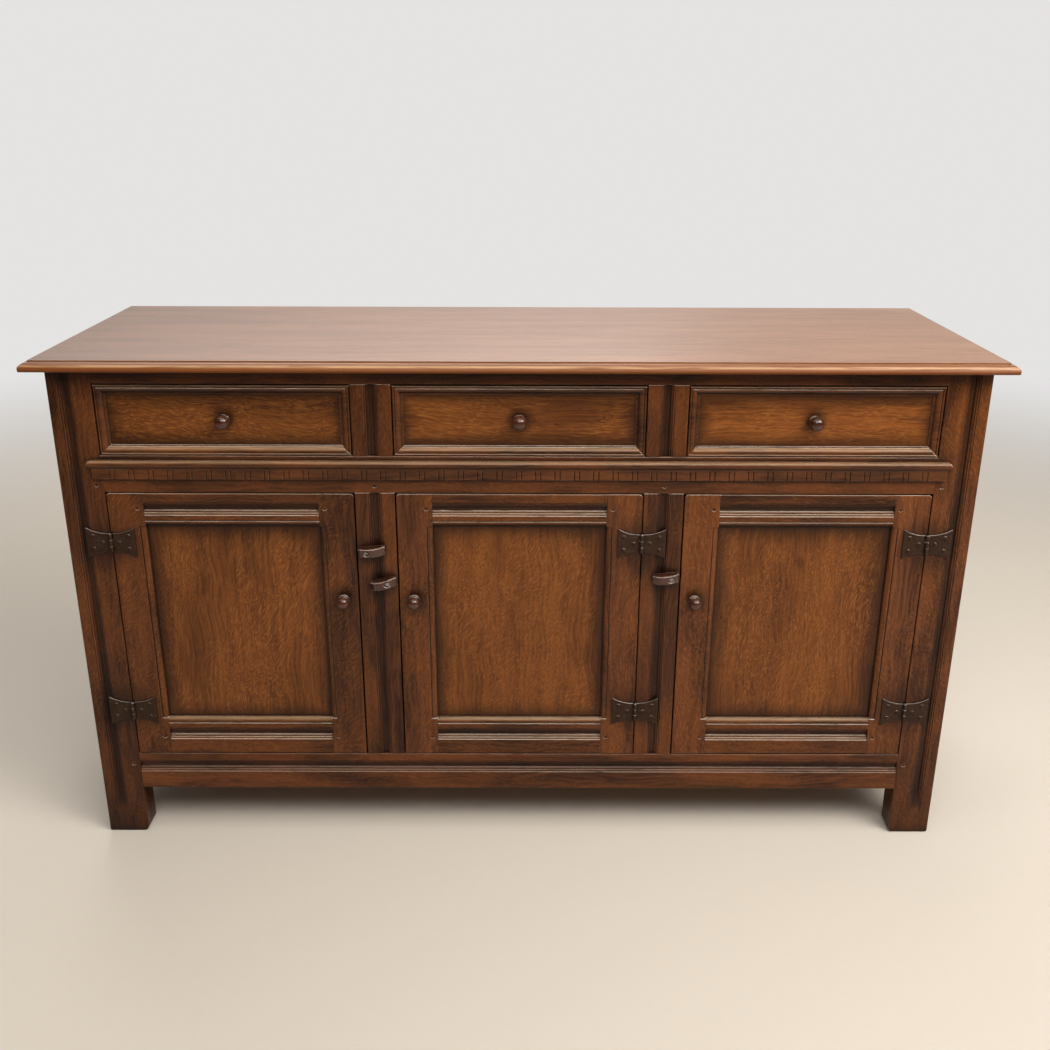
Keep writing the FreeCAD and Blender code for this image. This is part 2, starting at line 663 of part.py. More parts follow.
def back_post(side, label):
    """A back post with its rebate for the back panel and the mortises for rails."""
    body = new_body(label, front)
    section = moved(bar_section(S.back_post_width, S.back_post_depth), back_post_inside, back_post_front)
    pad(body, draw(sketch(body, "shaft", "XY"), mirrored(section, side)), underside)
    mirrored_block(body, "rebate", (back_post_inside, back_rail_back, S.foot_height),
                   (back_post_inside + S.back_rebate, S.body_depth, underside), side, cut=True)
    end = back_post_inside + S.side_tenon_length + over
    for name, low, high in back_rail_levels:
        mirrored_block(body, name + "_mortise", (back_post_inside, back_tenon[0], low + S.tenon_shoulder),
                       (end, back_tenon[1], high - S.tenon_shoulder), side, cut=True)
    side_mortises(body, side, back_post_front, back_post_front + S.side_tenon_length + over,
                  back_post_front, back_post_front + S.side_groove)
    return body


back_rail_levels = (("top", underside - S.back_top_rail, underside),
                    ("middle", drawer_level - S.back_mid_rail, drawer_level),
                    ("bottom", S.foot_height, door_level))
back_tenon = (back_rail_front + S.back_rail_thickness / 2 - S.tenon_thickness / 2,
              back_rail_front + S.back_rail_thickness / 2 + S.tenon_thickness / 2)


def plain_rail(body, section, start, length):
    """A rail with the given section, from one end to the other."""
    return pad(body, draw(sketch(body, "section", "YZ", start), swapped(section)), length)


def front_rail(label, level, height, peg_level, channel_start=None):
    """A front rail with tenons into both posts."""
    body = new_body(label, front)
    section = moved(bar_section(height, S.frame_thickness, channel_start), level, 0)
    plain_rail(body, section, -post_inside, rail_length)
    end = post_inside + S.tenon_length
    block(body, "tenons", (-end, tenon_front, level + S.tenon_shoulder),
          (end, tenon_back, level + height - S.tenon_shoulder))
    drill(body, "peg_holes", [((post_inside + S.peg_inset) * side, peg_level) for side in (-1, 1)],
          S.peg_radius, S.peg_length)
    return body


def muntin_mortises(body, low, high, name):
    """Mortises for both muntins between two levels of a rail."""
    for side in (-1, 1):
        centre = muntin_centre * side
        half = S.muntin_width / 2 - S.tenon_shoulder
        block(body, name, (centre - half, tenon_front, low), (centre + half, tenon_back, high), cut=True)


def bottom_rail():
    """The rail under the doors, with its channel."""
    start = S.bottom_rail_height - S.bottom_rail_strip - channel_width
    body = front_rail("bottom_rail", S.foot_height, S.bottom_rail_height, frame_peg_levels[0], start)
    muntin_mortises(body, door_level - S.muntin_tenon_length - over, door_level, "muntin_mortise")
    return keep(body, "bottom_rail")


def waist_rail():
    """The rail between doors and drawers."""
    body = front_rail("waist_rail", waist_level, S.waist_rail_height, frame_peg_levels[1])
    muntin_mortises(body, waist_level, waist_level + S.muntin_tenon_length + over, "door_muntin")
    muntin_mortises(body, drawer_level - S.upper_tenon_length - over, drawer_level, "drawer_muntin")
    drill(body, "muntin_pegs", [(muntin_centre * side, frame_peg_levels[1]) for side in (-1, 1)],
          S.peg_radius, S.peg_length)
    return keep(body, "waist_rail")


def front_top_rail():
    """The flat rail under the top board."""
    body = new_body("front_top_rail", front)
    section = moved(bar_section(S.top_rail_height, S.top_rail_depth), top_rail_level, 0)
    plain_rail(body, section, -post_inside, rail_length)
    end = post_inside + S.tenon_length
    block(body, "tenons", (-end, S.tenon_shoulder, top_rail_tenon[0]),
          (end, S.top_rail_depth - S.tenon_shoulder, top_rail_tenon[1]))
    muntin_mortises(body, top_rail_level, top_rail_level + S.upper_tenon_length + over, "muntin_mortise")
    return keep(body, "front_top_rail")


def muntin(side, name, low, high, tenon, holes):
    """An upright between two rails, with a channel down its middle."""
    body = new_body(name, front)
    section = moved(bar_section(S.muntin_width, S.frame_thickness, S.muntin_width / 2 - channel_width / 2),
                    muntin_centre * side - S.muntin_width / 2, 0)
    pad(body, draw(sketch(body, "plan", "XY", low), section), high - low)
    half = S.muntin_width / 2 - S.tenon_shoulder
    centre = muntin_centre * side
    block(body, "tenons", (centre - half, tenon_front, low - tenon),
          (centre + half, tenon_back, high + tenon))
    for label, centres, radius, depth in holes:
        drill(body, label, centres, radius, depth)
    return body


def muntins():
    """The two upper and the two lower muntins."""
    upper = [muntin(side, "upper_muntin", drawer_level, top_rail_level, S.upper_tenon_length, ())
             for side in (-1, 1)]
    group("upper_muntins", upper)
    lower = []
    for side in (-1, 1):
        screws = [(place, level) for place, level in button_places if (place.value > 0) == (side > 0)]
        holes = [("peg_hole", [(muntin_centre * side, frame_peg_levels[1])], S.peg_radius, S.peg_length),
                 ("screw_holes", screws, S.screw_radius, S.screw_length)]
        if side > 0:
            axis = hinge_place(0, 1)
            nails = [nail for level in hinge_levels for nail in leaf_nails(axis, 1, level)]
            holes.append(("nail_holes", nails, S.nail_shank_radius, nail_reach))
        lower.append(muntin(side, "lower_muntin", door_level, waist_level, S.muntin_tenon_length, holes))
    group("lower_muntins", lower)


def button_place(bay, hand):
    """Where the screw of a door's turn-button lies across the front."""
    free_edge = bay_pitch * bay - (S.bay_width / 2 - S.door_free_gap) * hand
    return free_edge - S.button_reach * hand


button_levels = (left_button_level, middle_button_level, right_button_level)
button_tilts = (S.left_button_tilt, S.middle_button_tilt, S.right_button_tilt)
button_places = [(button_place(bay, hand), level)
                 for (name, bay, hand), level in zip(BAYS, button_levels)]


def top_edge():
    """The moulded edge, from the upper face down to the underside, measured back from the tip."""
    return [(S.top_edge_width, top_level), (S.top_edge_width, top_level - S.top_edge_step),
            (S.top_edge_width - S.top_edge_flat, top_level - S.top_edge_step),
            (ZERO, underside + S.top_nose_height, OVOLO), (S.top_nose_round, underside, SOFT)]


def top_board():
    """The top board: the front moulding returns round both ends."""
    body = new_body("top_board", front)
    profile = moved(top_edge(), -S.top_overhang, 0) + [(top_back, underside), (top_back, top_level)]
    pad(body, draw(sketch(body, "front_edge", "YZ", -top_half), profile), top_half * 2)
    for side, label in ((-1, "left_end"), (1, "right_end")):
        edge = [(top_half - c[0], c[1]) + tuple(-bend for bend in c[2:]) for c in top_edge()]
        out = top_half + S.top_edge_width
        waste = [(edge[0][0], top_level + S.top_thickness)] + edge + [
            (edge[-1][0], underside - S.top_thickness), (out, underside - S.top_thickness),
            (out, top_level + S.top_thickness)]
        drawn = draw(sketch(body, label, "XZ", S.top_overhang), mirrored(waste, side))
        pocket(body, drawn, S.top_overhang + top_back)
        corner_cut(body, label + "_round", "XY", (top_half * side, -S.top_overhang), (-side, 1),
                   S.top_corner_round, top_level, S.top_thickness)
    return keep(body, "top_board")


def moulding_section():
    """The waist moulding: projection and height from its lower edge."""
    cove = S.band_height + S.cove_height
    top = cove + S.nosing_height
    full = S.band_depth + S.cove_depth
    return [(ZERO, ZERO), (S.band_depth, ZERO), (S.band_depth, S.band_height), (full, cove, -OVOLO),
            (full - S.nosing_back, top, NOSING), (ZERO, top)]


def waist_moulding():
    """The moulding on the waist rail: returned ends and pairs of notches in its band."""
    body = new_body("waist_moulding", front)
    base = waist_level + S.moulding_base
    half = post_inside + S.moulding_lap
    full = S.band_depth + S.cove_depth
    reach = full + S.nosing_height
    section = [(-c[0], c[1] + base) + tuple(-bend for bend in c[2:]) for c in moulding_section()]
    pad(body, draw(sketch(body, "section", "YZ", -half - reach), section), (half + reach) * 2)
    for side, label in ((-1, "left_end"), (1, "right_end")):
        edge = moved(moulding_section()[1:-1], half - full, base)
        high = base + S.band_height + S.cove_height + S.nosing_height
        waste = [(edge[0][0], base - S.band_height)] + edge + [
            (edge[-1][0], high + S.band_height), (half + reach * 2, high + S.band_height),
            (half + reach * 2, base - S.band_height)]
        drawn = draw(sketch(body, label, "XZ", reach), mirrored(waste, side))
        pocket(body, drawn, reach * 2)
    first = S.notch_pitch - half
    notches = sketch(body, "notches", "XY", base + S.band_height)
    wide = S.notch_width / 2
    for centre in (first, first + S.notch_pair):
        draw(notches, [(centre - wide, -S.band_depth), (centre + wide, -S.band_depth),
                       (centre, S.notch_depth - S.band_depth)])
    cut = pocket(body, notches, S.band_height)
    row = body.newObject("PartDesign::LinearPattern", "notch_row")
    row.Originals = [cut]
    row.Direction = ([axis for axis in body.Origin.OriginFeatures if axis.Role == "X_Axis"][0], [""])
    row.Mode = "Spacing"
    tie(row, "Offset", S.notch_pitch)
    count = (half * 2 - S.notch_pitch - S.notch_pair - reach) / S.notch_pitch
    tie(row, "Occurrences", Size("floor(%s + 1)" % count.formula, count.value))
    body.Tip = row
    return keep(body, "waist_moulding")


def side_frame(side):
    """The two rails and the panel of one side."""
    start = S.post_depth
    end = back_post_front
    rails = []
    for label, base, height, groove in (
            ("side_bottom_rail", S.foot_height, S.bottom_rail_height, door_level - S.side_groove),
            ("side_top_rail", underside - S.side_top_rail, S.side_top_rail, underside - S.side_top_rail)):
        body = new_body(label, front)
        section = [(side_outside - c[1], c[0] + base) + tuple(c[2:])
                   for c in bar_section(height, S.side_rail_thickness)]
        drawn = draw(sketch(body, "section", "XZ", -start), mirrored(section, side))
        pad(body, drawn, end - start, back=True)
        mirrored_block(body, "tenons", (side_panel_in, start - S.side_tenon_length, base + S.tenon_shoulder),
                       (side_panel_out, end + S.side_tenon_length, base + height - S.tenon_shoulder), side)
        mirrored_block(body, "groove", (side_panel_in, start, groove),
                       (side_panel_out, end, groove + S.side_groove), side, cut=True)
        rails.append(body)
    panel = new_body("side_panel", front)
    inset = S.side_groove - over
    mirrored_block(panel, "board", (side_panel_in, start - inset, door_level - inset),
                   (side_panel_out, end + inset, underside - S.side_top_rail + inset), side)
    return rails, panel


def sides():
    """Both side frames."""
    left_rails, left_panel = side_frame(-1)
    right_rails, right_panel = side_frame(1)
    group("side_rails", left_rails + right_rails)
    group("side_panels", [left_panel, right_panel])


def back():
    """Back posts, back rails and the back panel in its rebates."""
    group("back_posts", [back_post(side, "back_post") for side in (-1, 1)])
    rails = []
    for name, low, high in back_rail_levels:
        body = new_body("back_rail", front)
        block(body, "rail", (-back_post_inside, back_rail_front, low),
              (back_post_inside, back_rail_back, high))
        end = back_post_inside + S.side_tenon_length
        block(body, "tenons", (-end, back_tenon[0], low + S.tenon_shoulder),
              (end, back_tenon[1], high - S.tenon_shoulder))
        rails.append(body)
    group("back_rails", rails)
    half = back_post_inside + S.back_rebate - over
    panel = new_body("back_panel", front)
    block(panel, "board", (-half, back_rail_back, S.foot_height), (half, S.body_depth, underside - over))
    keep(panel, "back_panel")


def cupboard_floor():
    """Three floor boards on cleats: the outer two are notched round the posts."""
    first = S.frame_thickness + S.door_stop_gap
    board = (back_rail_front - first) / FLOOR_BOARDS
    half = side_inside - over
    boards = []
    for index in range(FLOOR_BOARDS):
        body = new_body("floor_board", front)
        low = first + board * index
        block(body, "board", (-half, low, floor_base), (half, low + board - S.floor_gap, floor_level))
        for side in (-1, 1):
            if index == 0:
                mirrored_block(body, "notch", (post_inside - over, low, floor_base),
                               (half, S.post_depth + over, floor_level), side, cut=True)
            if index == FLOOR_BOARDS - 1:
                mirrored_block(body, "notch", (back_post_inside - over, back_post_front - over, floor_base),
                               (half, low + board, floor_level), side, cut=True)
        boards.append(body)
    group("floor_boards", boards)
    low = floor_base - S.cleat
    runs = (((-post_inside, S.frame_thickness), (post_inside, S.frame_thickness + S.cleat)),
            ((-back_post_inside, back_rail_front - S.cleat), (back_post_inside, back_rail_front)),
            ((-side_inside, S.post_depth), (S.cleat - side_inside, back_post_front)),
            ((side_inside - S.cleat, S.post_depth), (side_inside, back_post_front)))
    cleats = []
    for start, end in runs:
        body = new_body("floor_cleat", front)
        block(body, "cleat", start + (low,), end + (floor_base,))
        cleats.append(body)
    group("floor_cleats", cleats)


def drawer_carriage():
    """Runners under, guides beside and kickers over the drawers."""
    runners, guides, kickers = [], [], []
    for side in (-1, 1):
        middle = muntin_centre * side
        wide = S.muntin_width / 2 + S.runner_ledge
        spans = ((middle - wide, middle + wide),
                 (post_inside - S.runner_ledge, post_inside) if side > 0
                 else (-post_inside, S.runner_ledge - post_inside))
        for low, high in spans:
            runner = new_body("drawer_runner", front)
            block(runner, "runner", (low, S.frame_thickness, drawer_level - S.runner_thickness),
                  (high, back_rail_front, drawer_level))
            runners.append(runner)
            kicker = new_body("drawer_kicker", front)
            block(kicker, "kicker", (low, S.top_rail_depth, top_rail_level),
                  (high, back_rail_front, underside))
            kickers.append(kicker)
        inner = new_body("drawer_guide", front)
        half = S.muntin_width / 2
        block(inner, "guide", (middle - half, S.frame_thickness, drawer_level),
              (middle + half, back_rail_front, drawer_level + S.guide_height))
        outer = new_body("drawer_guide", front)
        mirrored_block(outer, "guide", (post_inside, S.post_depth, drawer_level - S.runner_thickness),
                       (post_inside + S.guide_width, back_rail_front, drawer_level + S.guide_height), side)
        guides += [inner, outer]
    group("drawer_runners", runners)
    group("drawer_guides", guides)
    group("drawer_kickers", kickers)


def frame_pegs():
    """Pegs through the tenons of the front frame."""
    places = [((post_inside + S.peg_inset) * side, level) for side in (-1, 1) for level in frame_peg_levels]
    places += [(muntin_centre * side, frame_peg_levels[1]) for side in (-1, 1)]
    group("frame_pegs", [peg("frame_peg", x, z, front) for x, z in places])


def peg(label, x, z, place):
    """A round peg that stands a little proud of the face."""
    body = new_body(label, (place[0] + x, place[1], place[2] + z))
    radius = S.peg_radius
    dome = [(0, S.peg_length), (radius, S.peg_length), (radius, 0), (0, -S.peg_proud, -SOFT)]
    turn(body, draw(sketch(body, "half", "XY"), dome))
    return body


def leaf(label, direction, on_door, place):
    """One butterfly leaf with its knuckles: place is the middle of the hinge axis on the face."""
    body = new_body(label, place)
    waist = S.leaf_waist_height / 2
    tip = S.leaf_outer_height / 2
    outline = [(leaf_start, -waist), (S.leaf_length, -tip, -WAIST), (S.leaf_length, tip),
               (leaf_start, waist, -WAIST)]
    pad(body, draw(sketch(body, "plate", "XZ"), mirrored(outline, direction)), S.leaf_thickness)
    step = knuckle_length + S.knuckle_gap
    low = -waist
    spans = [low + step] if on_door else [low, low + step * 2]
    for base in spans:
        barrel = body.newObject("PartDesign::AdditiveCylinder", "knuckle")
        tie(barrel, "Radius", S.knuckle_radius)
        tie(barrel, "Height", knuckle_length)
        put(barrel, 0, barrel_place, base)
        mirrored_block(body, "web", (ZERO, -S.leaf_thickness, base),
                       (leaf_start + S.leaf_gap, -S.knuckle_gap, base + knuckle_length), direction)
    bore = body.newObject("PartDesign::SubtractiveCylinder", "bore")
    tie(bore, "Radius", S.pin_radius + S.pin_clearance if on_door else S.pin_radius)
    tie(bore, "Height", S.leaf_waist_height)
    put(bore, 0, barrel_place, low)
    holes = sketch(body, "nail_holes", "XZ", S.leaf_thickness)
    circles(holes, leaf_nails(ZERO, direction, ZERO), S.nail_shank_radius)
    pocket(body, holes, S.leaf_thickness)
    return body


def nails(direction, place):
    """The three domed nails of one leaf."""
    made = []
    for x, z in leaf_nails(ZERO, direction, ZERO):
        body = new_body("hinge_nail", (place[0] + x, place[1] - S.leaf_thickness, place[2] + z))
        half = [(0, S.nail_shank), (S.nail_shank_radius, S.nail_shank), (S.nail_shank_radius, 0),
                (S.nail_radius, 0), (0, -S.nail_height, -OVOLO)]
        turn(body, draw(sketch(body, "half", "XY"), half))
        made.append(body)
    return made


def hinges():
    """The frame leaves, their nails and the pins, which stay on the carcass."""
    leaves, pins = [], []
    for name, bay, hand in BAYS:
        for level in hinge_levels:
            place = (hinge_place(bay, hand), face_place, level)
            leaves.append(leaf("frame_leaf", hand, False, place))
            leaves += nails(hand, place)
            pin = doc.addObject("Part::Cylinder", "hinge_pin")
            tie(pin, "Radius", S.pin_radius)
            tie(pin, "Height", S.leaf_waist_height + S.pin_head * 2)
            put(pin, place[0], face_place + barrel_place, level - S.leaf_waist_height / 2 - S.pin_head)
            pins.append(pin)
    group("hinge_frame_leaves", leaves)
    group("hinge_pins", pins)


def knob(label, radius, back_length, crown, place):
    """A turned knob: collar, neck and rounded head, with a spigot in the wood."""
    body = new_body(label, place)
    collar = -S.knob_collar_height
    neck = collar - S.knob_neck_length
    wide = neck - back_length
    half = [(0, S.knob_spigot_length), (S.knob_spigot_radius, S.knob_spigot_length),
            (S.knob_spigot_radius, 0), (S.knob_collar_radius, 0),
            (S.knob_collar_radius, collar, -REED), (S.knob_neck_radius, collar),
            (S.knob_neck_radius, neck, SOFT), (radius, wide, -SOFT), (0, wide - crown, -QUARTER)]
    turn(body, draw(sketch(body, "half", "XY"), half))
    return keep(body, label)


def flared(low, high, near, far):
    """Evenly spaced dovetails between two levels: near and far each hold a depth and a width."""
    pitch = (high - low) / TAILS
    outlines = []
    for index in range(TAILS):
        middle = low + pitch * index + pitch / 2
        outlines.append([(near[0], middle - near[1] / 2), (far[0], middle - far[1] / 2),
                         (far[0], middle + far[1] / 2), (near[0], middle + near[1] / 2)])
    return outlines


def draw_all(made, outlines):
    """Draws several closed outlines in one sketch."""
    for outline in outlines:
        draw(made, outline)
    return made


def drawer_tails():
    """The tails of a drawer side, which lie in the front."""
    pitch = drawer_side_top / TAILS
    return flared(ZERO, drawer_side_top, (drawer_front_back, pitch - S.dovetail_wide),
                  (drawer_lap_end, pitch - S.dovetail_narrow))


def drawer_pins():
    """The pins of a drawer back, which pass through the sides."""
    return flared(drawer_floor, drawer_back_top, (drawer_back - S.drawer_back_thickness, S.dovetail_wide),
                  (drawer_back, S.dovetail_narrow))


def drawer(name, bay):
    """One drawer: front, dovetailed sides and back, bottom, mitred moulding and knob."""
    place = (bay_pitch * bay, face_place, drawer_level + S.drawer_run_gap)
    half = drawer_width / 2
    middle = drawer_height / 2
    board = new_body("drawer_front_" + name, place)
    block(board, "board", (-half, S.strip_height, ZERO), (half, drawer_front_back, drawer_height))
    for end in (half, -drawer_inside):
        sockets = draw_all(sketch(board, "sockets", "YZ", end), drawer_tails())
        pocket(board, sockets, S.drawer_side_thickness)
    block(board, "groove", (-drawer_inside, drawer_front_back - S.drawer_groove, S.drawer_bottom_rise),
          (drawer_inside, drawer_front_back, drawer_floor), cut=True)
    hole = sketch(board, "knob_hole", "XZ", -S.strip_height)
    pocket(board, circles(hole, [(ZERO, middle)], S.knob_spigot_radius), S.knob_spigot_length)
    keep(board, "drawer_front_" + name)

    boards = []
    for side in (-1, 1):
        cheek = new_body("drawer_side", place)
        mirrored_block(cheek, "board", (drawer_inside, drawer_front_back, ZERO),
                       (half, drawer_back, drawer_side_top), side)
        inner = drawer_inside if side > 0 else -half
        pad(cheek, draw_all(sketch(cheek, "tails", "YZ", inner), drawer_tails()), S.drawer_side_thickness)
        sockets = draw_all(sketch(cheek, "sockets", "YZ", inner), drawer_pins())
        pocket(cheek, sockets, S.drawer_side_thickness, forward=True)
        mirrored_block(cheek, "groove", (drawer_inside, drawer_lap_end, S.drawer_bottom_rise),
                       (drawer_inside + S.drawer_groove, drawer_back, drawer_floor), side, cut=True)
        boards.append(cheek)
    rear = new_body("drawer_back", place)
    block(rear, "board", (-drawer_inside, drawer_back - S.drawer_back_thickness, drawer_floor),
          (drawer_inside, drawer_back, drawer_back_top))
    for start in (-half, drawer_inside):
        pad(rear, draw_all(sketch(rear, "pins", "YZ", start), drawer_pins()), S.drawer_side_thickness)
    group("drawer_box_" + name, boards + [rear])

    bottom = new_body("drawer_bottom_" + name, place)
    wide = drawer_inside + S.drawer_groove - over
    block(bottom, "board", (-drawer_inside, drawer_front_back - S.drawer_groove + over, S.drawer_bottom_rise),
          (drawer_inside, drawer_back, drawer_floor))
    block(bottom, "tongues", (-wide, drawer_front_back, S.drawer_bottom_rise),
          (wide, drawer_back, drawer_floor))
    keep(bottom, "drawer_bottom_" + name)
    drawer_moulding(name, place)
    knob("drawer_knob_" + name, S.drawer_knob_radius, S.drawer_knob_back, S.drawer_knob_crown,
         (place[0], face_place + S.strip_height, place[2] + middle))


def strip_section():
    """The drawer moulding from its outer edge inwards, and its height over the field."""
    bead = S.strip_height - S.strip_bead_rise
    start = S.strip_bead + S.strip_quirk
    end = S.strip_width - S.strip_listel
    return [(ZERO, ZERO), (S.strip_width, ZERO), (S.strip_width, S.strip_listel_height),
            (end, S.strip_listel_height), (end, S.strip_listel_height + S.strip_step),
            (start, S.strip_height - S.strip_ovolo_drop, OVOLO),
            (start, S.strip_height - S.strip_quirk_depth),
            (S.strip_bead, S.strip_height - S.strip_quirk_depth), (S.strip_bead, bead), (ZERO, bead, BEAD)]


def drawer_moulding(name, place):
    """Four mitred strips round one drawer's field."""
    half = drawer_width / 2
    width = S.strip_width
    top = new_body("drawer_strip", place)
    section = [(S.strip_height - c[1], drawer_height - c[0]) + tuple(-bend for bend in c[2:])
               for c in strip_section()]
    pad(top, draw(sketch(top, "section", "YZ", -half), section), half * 2)
    mitres = sketch(top, "mitres", "XZ", width)
    inner = half - width
    outer = half + width
    for side in (-1, 1):
        draw(mitres, [(half * side, drawer_height), (inner * side, drawer_height - width),
                      (inner * side, drawer_height - width * 2), (outer * side, drawer_height - width * 2),
                      (outer * side, drawer_height)])
    pocket(top, mitres, width * 2)
    left = new_body("drawer_strip", place)
    section = [(c[0] - half, S.strip_height - c[1]) + tuple(-bend for bend in c[2:]) for c in strip_section()]
    pad(left, draw(sketch(left, "section", "XY"), section), drawer_height)
    mitres = sketch(left, "mitres", "XZ", width)
    clear = width - inner
    draw(mitres, [(-half, ZERO), (-inner, width), (clear, width), (clear, -width), (-half, -width)])
    draw(mitres, [(-half, drawer_height), (-inner, drawer_height - width), (clear, drawer_height - width),
                  (clear, drawer_height + width), (-half, drawer_height + width)])
    pocket(left, mitres, width * 2)
    strips = [top, left]
    for source, normal in ((top, FreeCAD.Vector(0, 0, 1)), (left, FreeCAD.Vector(1, 0, 0))):
        copy = doc.addObject("Part::Mirroring", "drawer_strip")
        copy.Source = source
        copy.Normal = normal
        for axis, amount in zip("xyz", (place[0], place[1], place[2] + drawer_height / 2)):
            tie(copy, "Base." + axis, amount)
        strips.append(copy)
    group("drawer_moulding_" + name, strips)


def door(name, bay, hand):
    """One door: pegged frame and panel, knob, and the door leaves of its hinges."""
    place = (bay_pitch * bay + door_shift * hand, face_place, door_level + S.door_end_gap)
    axis = hinge_axis * hand - door_shift * hand
    hinge_heights = (S.hinge_inset, upper_hinge)
    holes = [((stile_inside + S.door_peg_inset) * side, level) for side in (-1, 1)
             for level in (S.door_bottom_peg, upper_peg_level)]
    stiles = [door_stile(place, side, side == hand, axis, hinge_heights, holes) for side in (-1, 1)]
    group("door_stiles_" + name, stiles)
    group("door_rails_" + name, [door_rail(place, False, holes), door_rail(place, True, holes)])
    panel = new_body("door_panel_" + name, place)
    inset = S.panel_groove - over
    wide = stile_inside + inset
    block(panel, "board", (-wide, S.panel_recess, S.door_bottom_rail - inset),
          (wide, panel_back, panel_top + inset))
    keep(panel, "door_panel_" + name)
    group("door_pegs_" + name, [peg("door_peg", x, z, place) for x, z in holes])
    leaves = []
    for level in hinge_heights:
        seat = (place[0] + axis, place[1], place[2] + level)
        leaves.append(leaf("door_leaf", -hand, True, seat))
        leaves += nails(-hand, seat)
    group("door_leaves_" + name, leaves)
    knob("door_knob_" + name, S.door_knob_radius, S.door_knob_back, S.door_knob_crown,
         (place[0] - (door_width / 2 - S.knob_inset) * hand, face_place, place[2] + S.knob_height))


def door_stile(place, side, hinged, axis, hinge_heights, pegs):
    """One stile: its moulded inner edge stops at the rails."""
    body = new_body("door_stile", place)
    plan = mirrored(moved(bar_section(S.stile_width, S.frame_thickness), stile_inside, 0), side)
    pad(body, draw(sketch(body, "plan", "XY"), plan), door_height)
    waste = [(-S.edge_ovolo_width, S.edge_ovolo_low)] + edge_section() + [
        (edge_width, -S.edge_ovolo_low), (-S.edge_ovolo_width, -S.edge_ovolo_low)]
    edge = draw(sketch(body, "edge", "XY", panel_top), mirrored(moved(waste, stile_inside, 0), side))
    pocket(body, edge, panel_top - S.door_bottom_rail)
    deep = stile_inside + S.door_tenon_length + over
    for label, low, high in (("lower_mortise", S.tenon_shoulder, S.door_bottom_rail - S.panel_groove),
                             ("upper_mortise", panel_top + S.panel_groove, door_height - S.tenon_shoulder)):
        mirrored_block(body, label, (stile_inside, S.panel_recess, low), (deep, panel_back, high),
                       side, cut=True)
    mirrored_block(body, "groove", (stile_inside, S.panel_recess, S.door_bottom_rail - S.panel_groove),
                   (stile_inside + S.panel_groove, panel_back, panel_top + S.panel_groove), side, cut=True)
    own_pegs = [hole for hole in pegs if (hole[0].value > 0) == (side > 0)]
    drill(body, "peg_holes", own_pegs, S.peg_radius, S.peg_length)
    if hinged:
        spots = [nail for level in hinge_heights for nail in leaf_nails(axis, -side, level)]
        drill(body, "nail_holes", spots, S.nail_shank_radius, nail_reach)
    else:
        knob_x = (door_width / 2 - S.knob_inset) * side
        drill(body, "knob_hole", [(knob_x, S.knob_height)], S.knob_spigot_radius, S.knob_spigot_length)
    corner_cut(body, "corner", "XZ", (door_width / 2 * side, door_height), (-side, -1),
               S.door_corner_round, 0, S.frame_thickness)
    return body


def door_rail(place, top, pegs):
    """One door rail: moulded edge, channel, groove and tenons."""
    body = new_body("door_rail", place)
    height = S.door_top_rail if top else S.door_bottom_rail
    section = edge_section() + moved(channel_section(), edge_width + S.rail_strip, 0)
    section = [(ZERO, S.frame_thickness)] + section + [
        (height - S.arris, ZERO), (height, S.arris, QUARTER), (height, S.frame_thickness)]
    if top:
        section = moved(section, panel_top, 0)
    else:
        section = [(S.door_bottom_rail - c[0], c[1]) + tuple(-bend for bend in c[2:]) for c in section]
    plain_rail(body, section, -stile_inside, stile_inside * 2)
    end = stile_inside + S.door_tenon_length
    low = panel_top + S.panel_groove if top else S.tenon_shoulder
    high = door_height - S.tenon_shoulder if top else S.door_bottom_rail - S.panel_groove
    block(body, "tenons", (-end, S.panel_recess, low), (end, panel_back, high))
    groove = panel_top if top else S.door_bottom_rail - S.panel_groove
    block(body, "groove", (-stile_inside, S.panel_recess, groove),
          (stile_inside, panel_back, groove + S.panel_groove), cut=True)
    level = upper_peg_level if top else S.door_bottom_peg
    own_pegs = [hole for hole in pegs if hole[1].formula == level.formula]
    drill(body, "peg_holes", own_pegs, S.peg_radius, S.peg_length)
    return body


def turn_button(name, place, level, tilt, hand):
    """A bowed wooden button on its screw: its short arm faces the door at rest."""
    label = "turn_button_" + name
    body = new_body(label, (place, face_place - S.button_gap, level))
    body.Placement.Rotation = FreeCAD.Rotation(FreeCAD.Vector(0, -1, 0), 1)
    tie(body, "Placement.Rotation.Angle", tilt)
    bow = S.button_bow * 2 / (S.button_long_arm + S.button_short_arm)
    outline = [(-S.button_long_arm, 0), (-S.button_long_arm, -S.button_end),
               (S.button_short_arm, -S.button_end, bow), (S.button_short_arm, 0)]
    plan = sketch(body, "plan", "XY", -S.button_height / 2)
    pad(body, draw(plan, mirrored(outline, hand)), S.button_height)
    reach = S.button_end + S.button_bow
    bore = sketch(body, "bore", "XZ", reach)
    pocket(body, circles(bore, [(ZERO, ZERO)], S.screw_radius + S.button_bore_gap), reach)
    seat = sketch(body, "seat", "XZ", reach * 2)
    pocket(body, circles(seat, [(ZERO, ZERO)], S.screw_head_radius + S.button_bore_gap),
           reach * 2 - S.button_seat)
    for end, inward in ((-S.button_long_arm * hand, hand), (S.button_short_arm * hand, -hand)):
        for upward in (-1, 1):
            corner_cut(body, "corner", "XZ", (end, S.button_height / 2 * upward), (inward, -upward),
                       S.button_corner, reach, reach)
    return keep(body, label)


